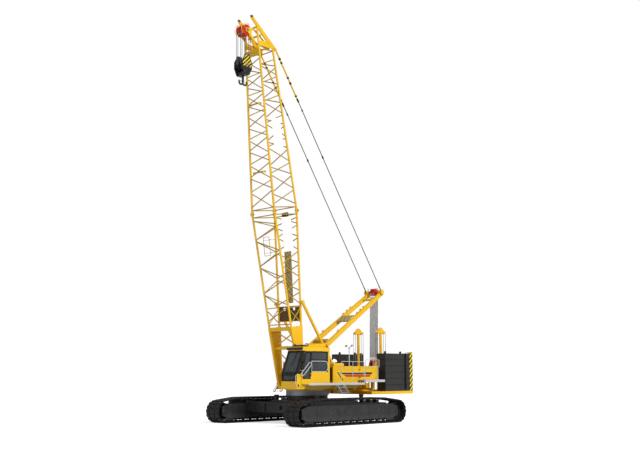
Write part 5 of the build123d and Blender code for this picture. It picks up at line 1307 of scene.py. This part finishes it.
for d, s in ((0.235, LENGTH), (0.0, LENGTH + 0.235)):
    pin(keepers, (d, s), -0.39, 0.39, 0.012, turn=MAST)
    for y in (-0.38, 0.38):
        bar(keepers, (0, y, LENGTH), (d, y, s), 0.014, turn=MAST)
for side in SIDES:
    for step in SIDES:
        y = side * 0.644 + step * 0.142
        pin(nuts, (0.95, 3.10), y, y + step * 0.018, 0.085, 6)
finish_piece("mast_platform", platform, catwalk_mesh, "mast")
finish_piece("mast_brackets", steps, crane_yellow, "mast")
# The cross piece takes the darker yellow, which is painted shade on its underside.
finish_piece("mast_cross_piece", cross, painted_shade_yellow, "mast")
finish_piece("mast_rope_keepers", keepers, bolt_steel, "mast")
finish_piece("mast_foot_pin_nuts", nuts, bolt_steel)

# %% Pendants: connectors along each rope, covers at the lower ends
# distance from the boom's head, length, radius
CONNECTORS = ((0.50, 0.12, 0.062), (0.74, 0.10, 0.058), (1.62, 0.10, 0.060), (1.93, 0.12, 0.060),
              (2.70, 0.10, 0.058), (2.90, 0.22, 0.050), (3.55, 0.12, 0.040), (6.40, 0.16, 0.044))
PENDANT_END = (-5.57, 7.28)
connectors, covers = bmesh.new(), bmesh.new()
top = BOOM @ Vector((-0.640, 0, 17.940))
run = (Vector((PENDANT_END[0], 0, PENDANT_END[1])) - top).normalized()
for side in SIDES:
    start = top + Vector((0, side * 0.58, 0))
    for at, long, radius in CONNECTORS:
        bar(connectors, start + run * at, start + run * (at + long), radius, 16)
    pin(covers, PENDANT_END, side * 0.611, side * 0.66, 0.14, 32)
finish_piece("pendant_connectors", connectors, gear_steel, "pendants")
finish_piece("pendant_end_covers", covers, crane_yellow, "pendants")

# %% Hook block: striped cheeks, bolts, latches
DROP = 1.90                   # from the point sheaves' axle to the block's
centre = BOOM @ Vector((AXLE_D, 0, AXLE_S)) - Vector((0, 0, DROP))


def by_block(points):
    return [(centre.x + x, centre.z + z) for x, z in points]


CHEEK = by_block([(0.30, -0.12), (0.30, 0.13), (0.11, 0.51),
                  (-0.11, 0.51), (-0.30, 0.13), (-0.30, -0.12)])
cheeks, nuts, latches = bmesh.new(), bmesh.new(), bmesh.new()
for side in SIDES:
    plate(cheeks, on_side(CHEEK, side * 0.3305), (0, side * 0.004, 0))
    pin(nuts, (centre.x, centre.z), side * 0.334, side * 0.36, 0.09, 6)
    for y, x, z in ((0.334, 0.13, 0.42), (0.330, 0.15, -0.42)):
        for point in on_side(by_block([(x, z), (-x, z)]), side * y):
            bolt(nuts, point, (0, side, 0), 0.022, 0.016)
    latch = by_block([(side * 0.05, -0.90), (side * 0.16, -0.86), (side * 0.235, -0.87)])
    rail(latches, on_side(latch, 0), 0.012)
finish_piece("hook_block_stripes", cheeks, block_stripes, "hook_tackle", smooth=False)
finish_piece("hook_block_bolts", nuts, bolt_steel, "hook_tackle")
finish_piece("hook_latches", latches, bolt_steel, "hook")

# %% [markdown]
# ## Stage
# The crane stands on a plain white floor that runs on into a white backdrop. The floor is lit
# like the crane, so it keeps the soft shadow under the tracks, and a little light of its own,
# seen only by the camera and through glass, lifts it to white. A low sun with wide
# soft edges comes from the cab's side, and the sky fills the shadows.

# %% Stage and lights
FLOOR_SIZE = 400
WHITE, MATT = (1, 1, 1, 1), (0.80, 0.80, 0.80, 1)
# name, direction that the light travels, strength, angle that softens it
LAMPS = (("key", (-0.08, -0.80, -0.58), 2.3, 20), ("fill", (-0.85, 0.15, -0.35), 0.35, 60))


def glow(tree, kind, unseen, seen):
    """White light, stronger for the camera's own rays and for what is seen through glass."""
    path = add(tree, "LightPath", out=None).outputs
    rays = {0: path["Is Camera Ray"], 1: path["Is Transmission Ray"]}
    share = add(tree, "Math", {"operation": "MAXIMUM"} | rays)
    strength = add(tree, "MapRange", {"Value": share, "To Min": unseen, "To Max": seen})
    return add(tree, kind, {"Color": WHITE, "Strength": strength})


bm = bmesh.new()
bmesh.ops.create_grid(bm, x_segments=1, y_segments=1, size=FLOOR_SIZE / 2)
floor = link("floor", mesh_of("floor", bm))

floor_paint = bpy.data.materials.new("matt_white_floor_paint")
tree = empty_tree(floor_paint)
matt = add(tree, "BsdfDiffuse", {"Color": MATT})
both = add(tree, "AddShader", {0: matt, 1: glow(tree, "Emission", 0.0, 0.62)})
add(tree, "OutputMaterial", {"Surface": both}, None)
floor.data.materials.append(floor_paint)

world = bpy.data.worlds.new("studio")
bpy.context.scene.world = world
tree = empty_tree(world)
add(tree, "OutputWorld", {"Surface": glow(tree, "Background", 0.34, 1.0)}, None)

for name, way, strength, softness in LAMPS:
    data = bpy.data.lights.new(name, "SUN")
    data.energy, data.angle = strength, math.radians(softness)
    link(name, data).rotation_euler = Vector(way).to_track_quat("-Z", "Y").to_euler()
bpy.context.scene.view_settings.view_transform = "Standard"
print("stage and", len(LAMPS), "lamps")
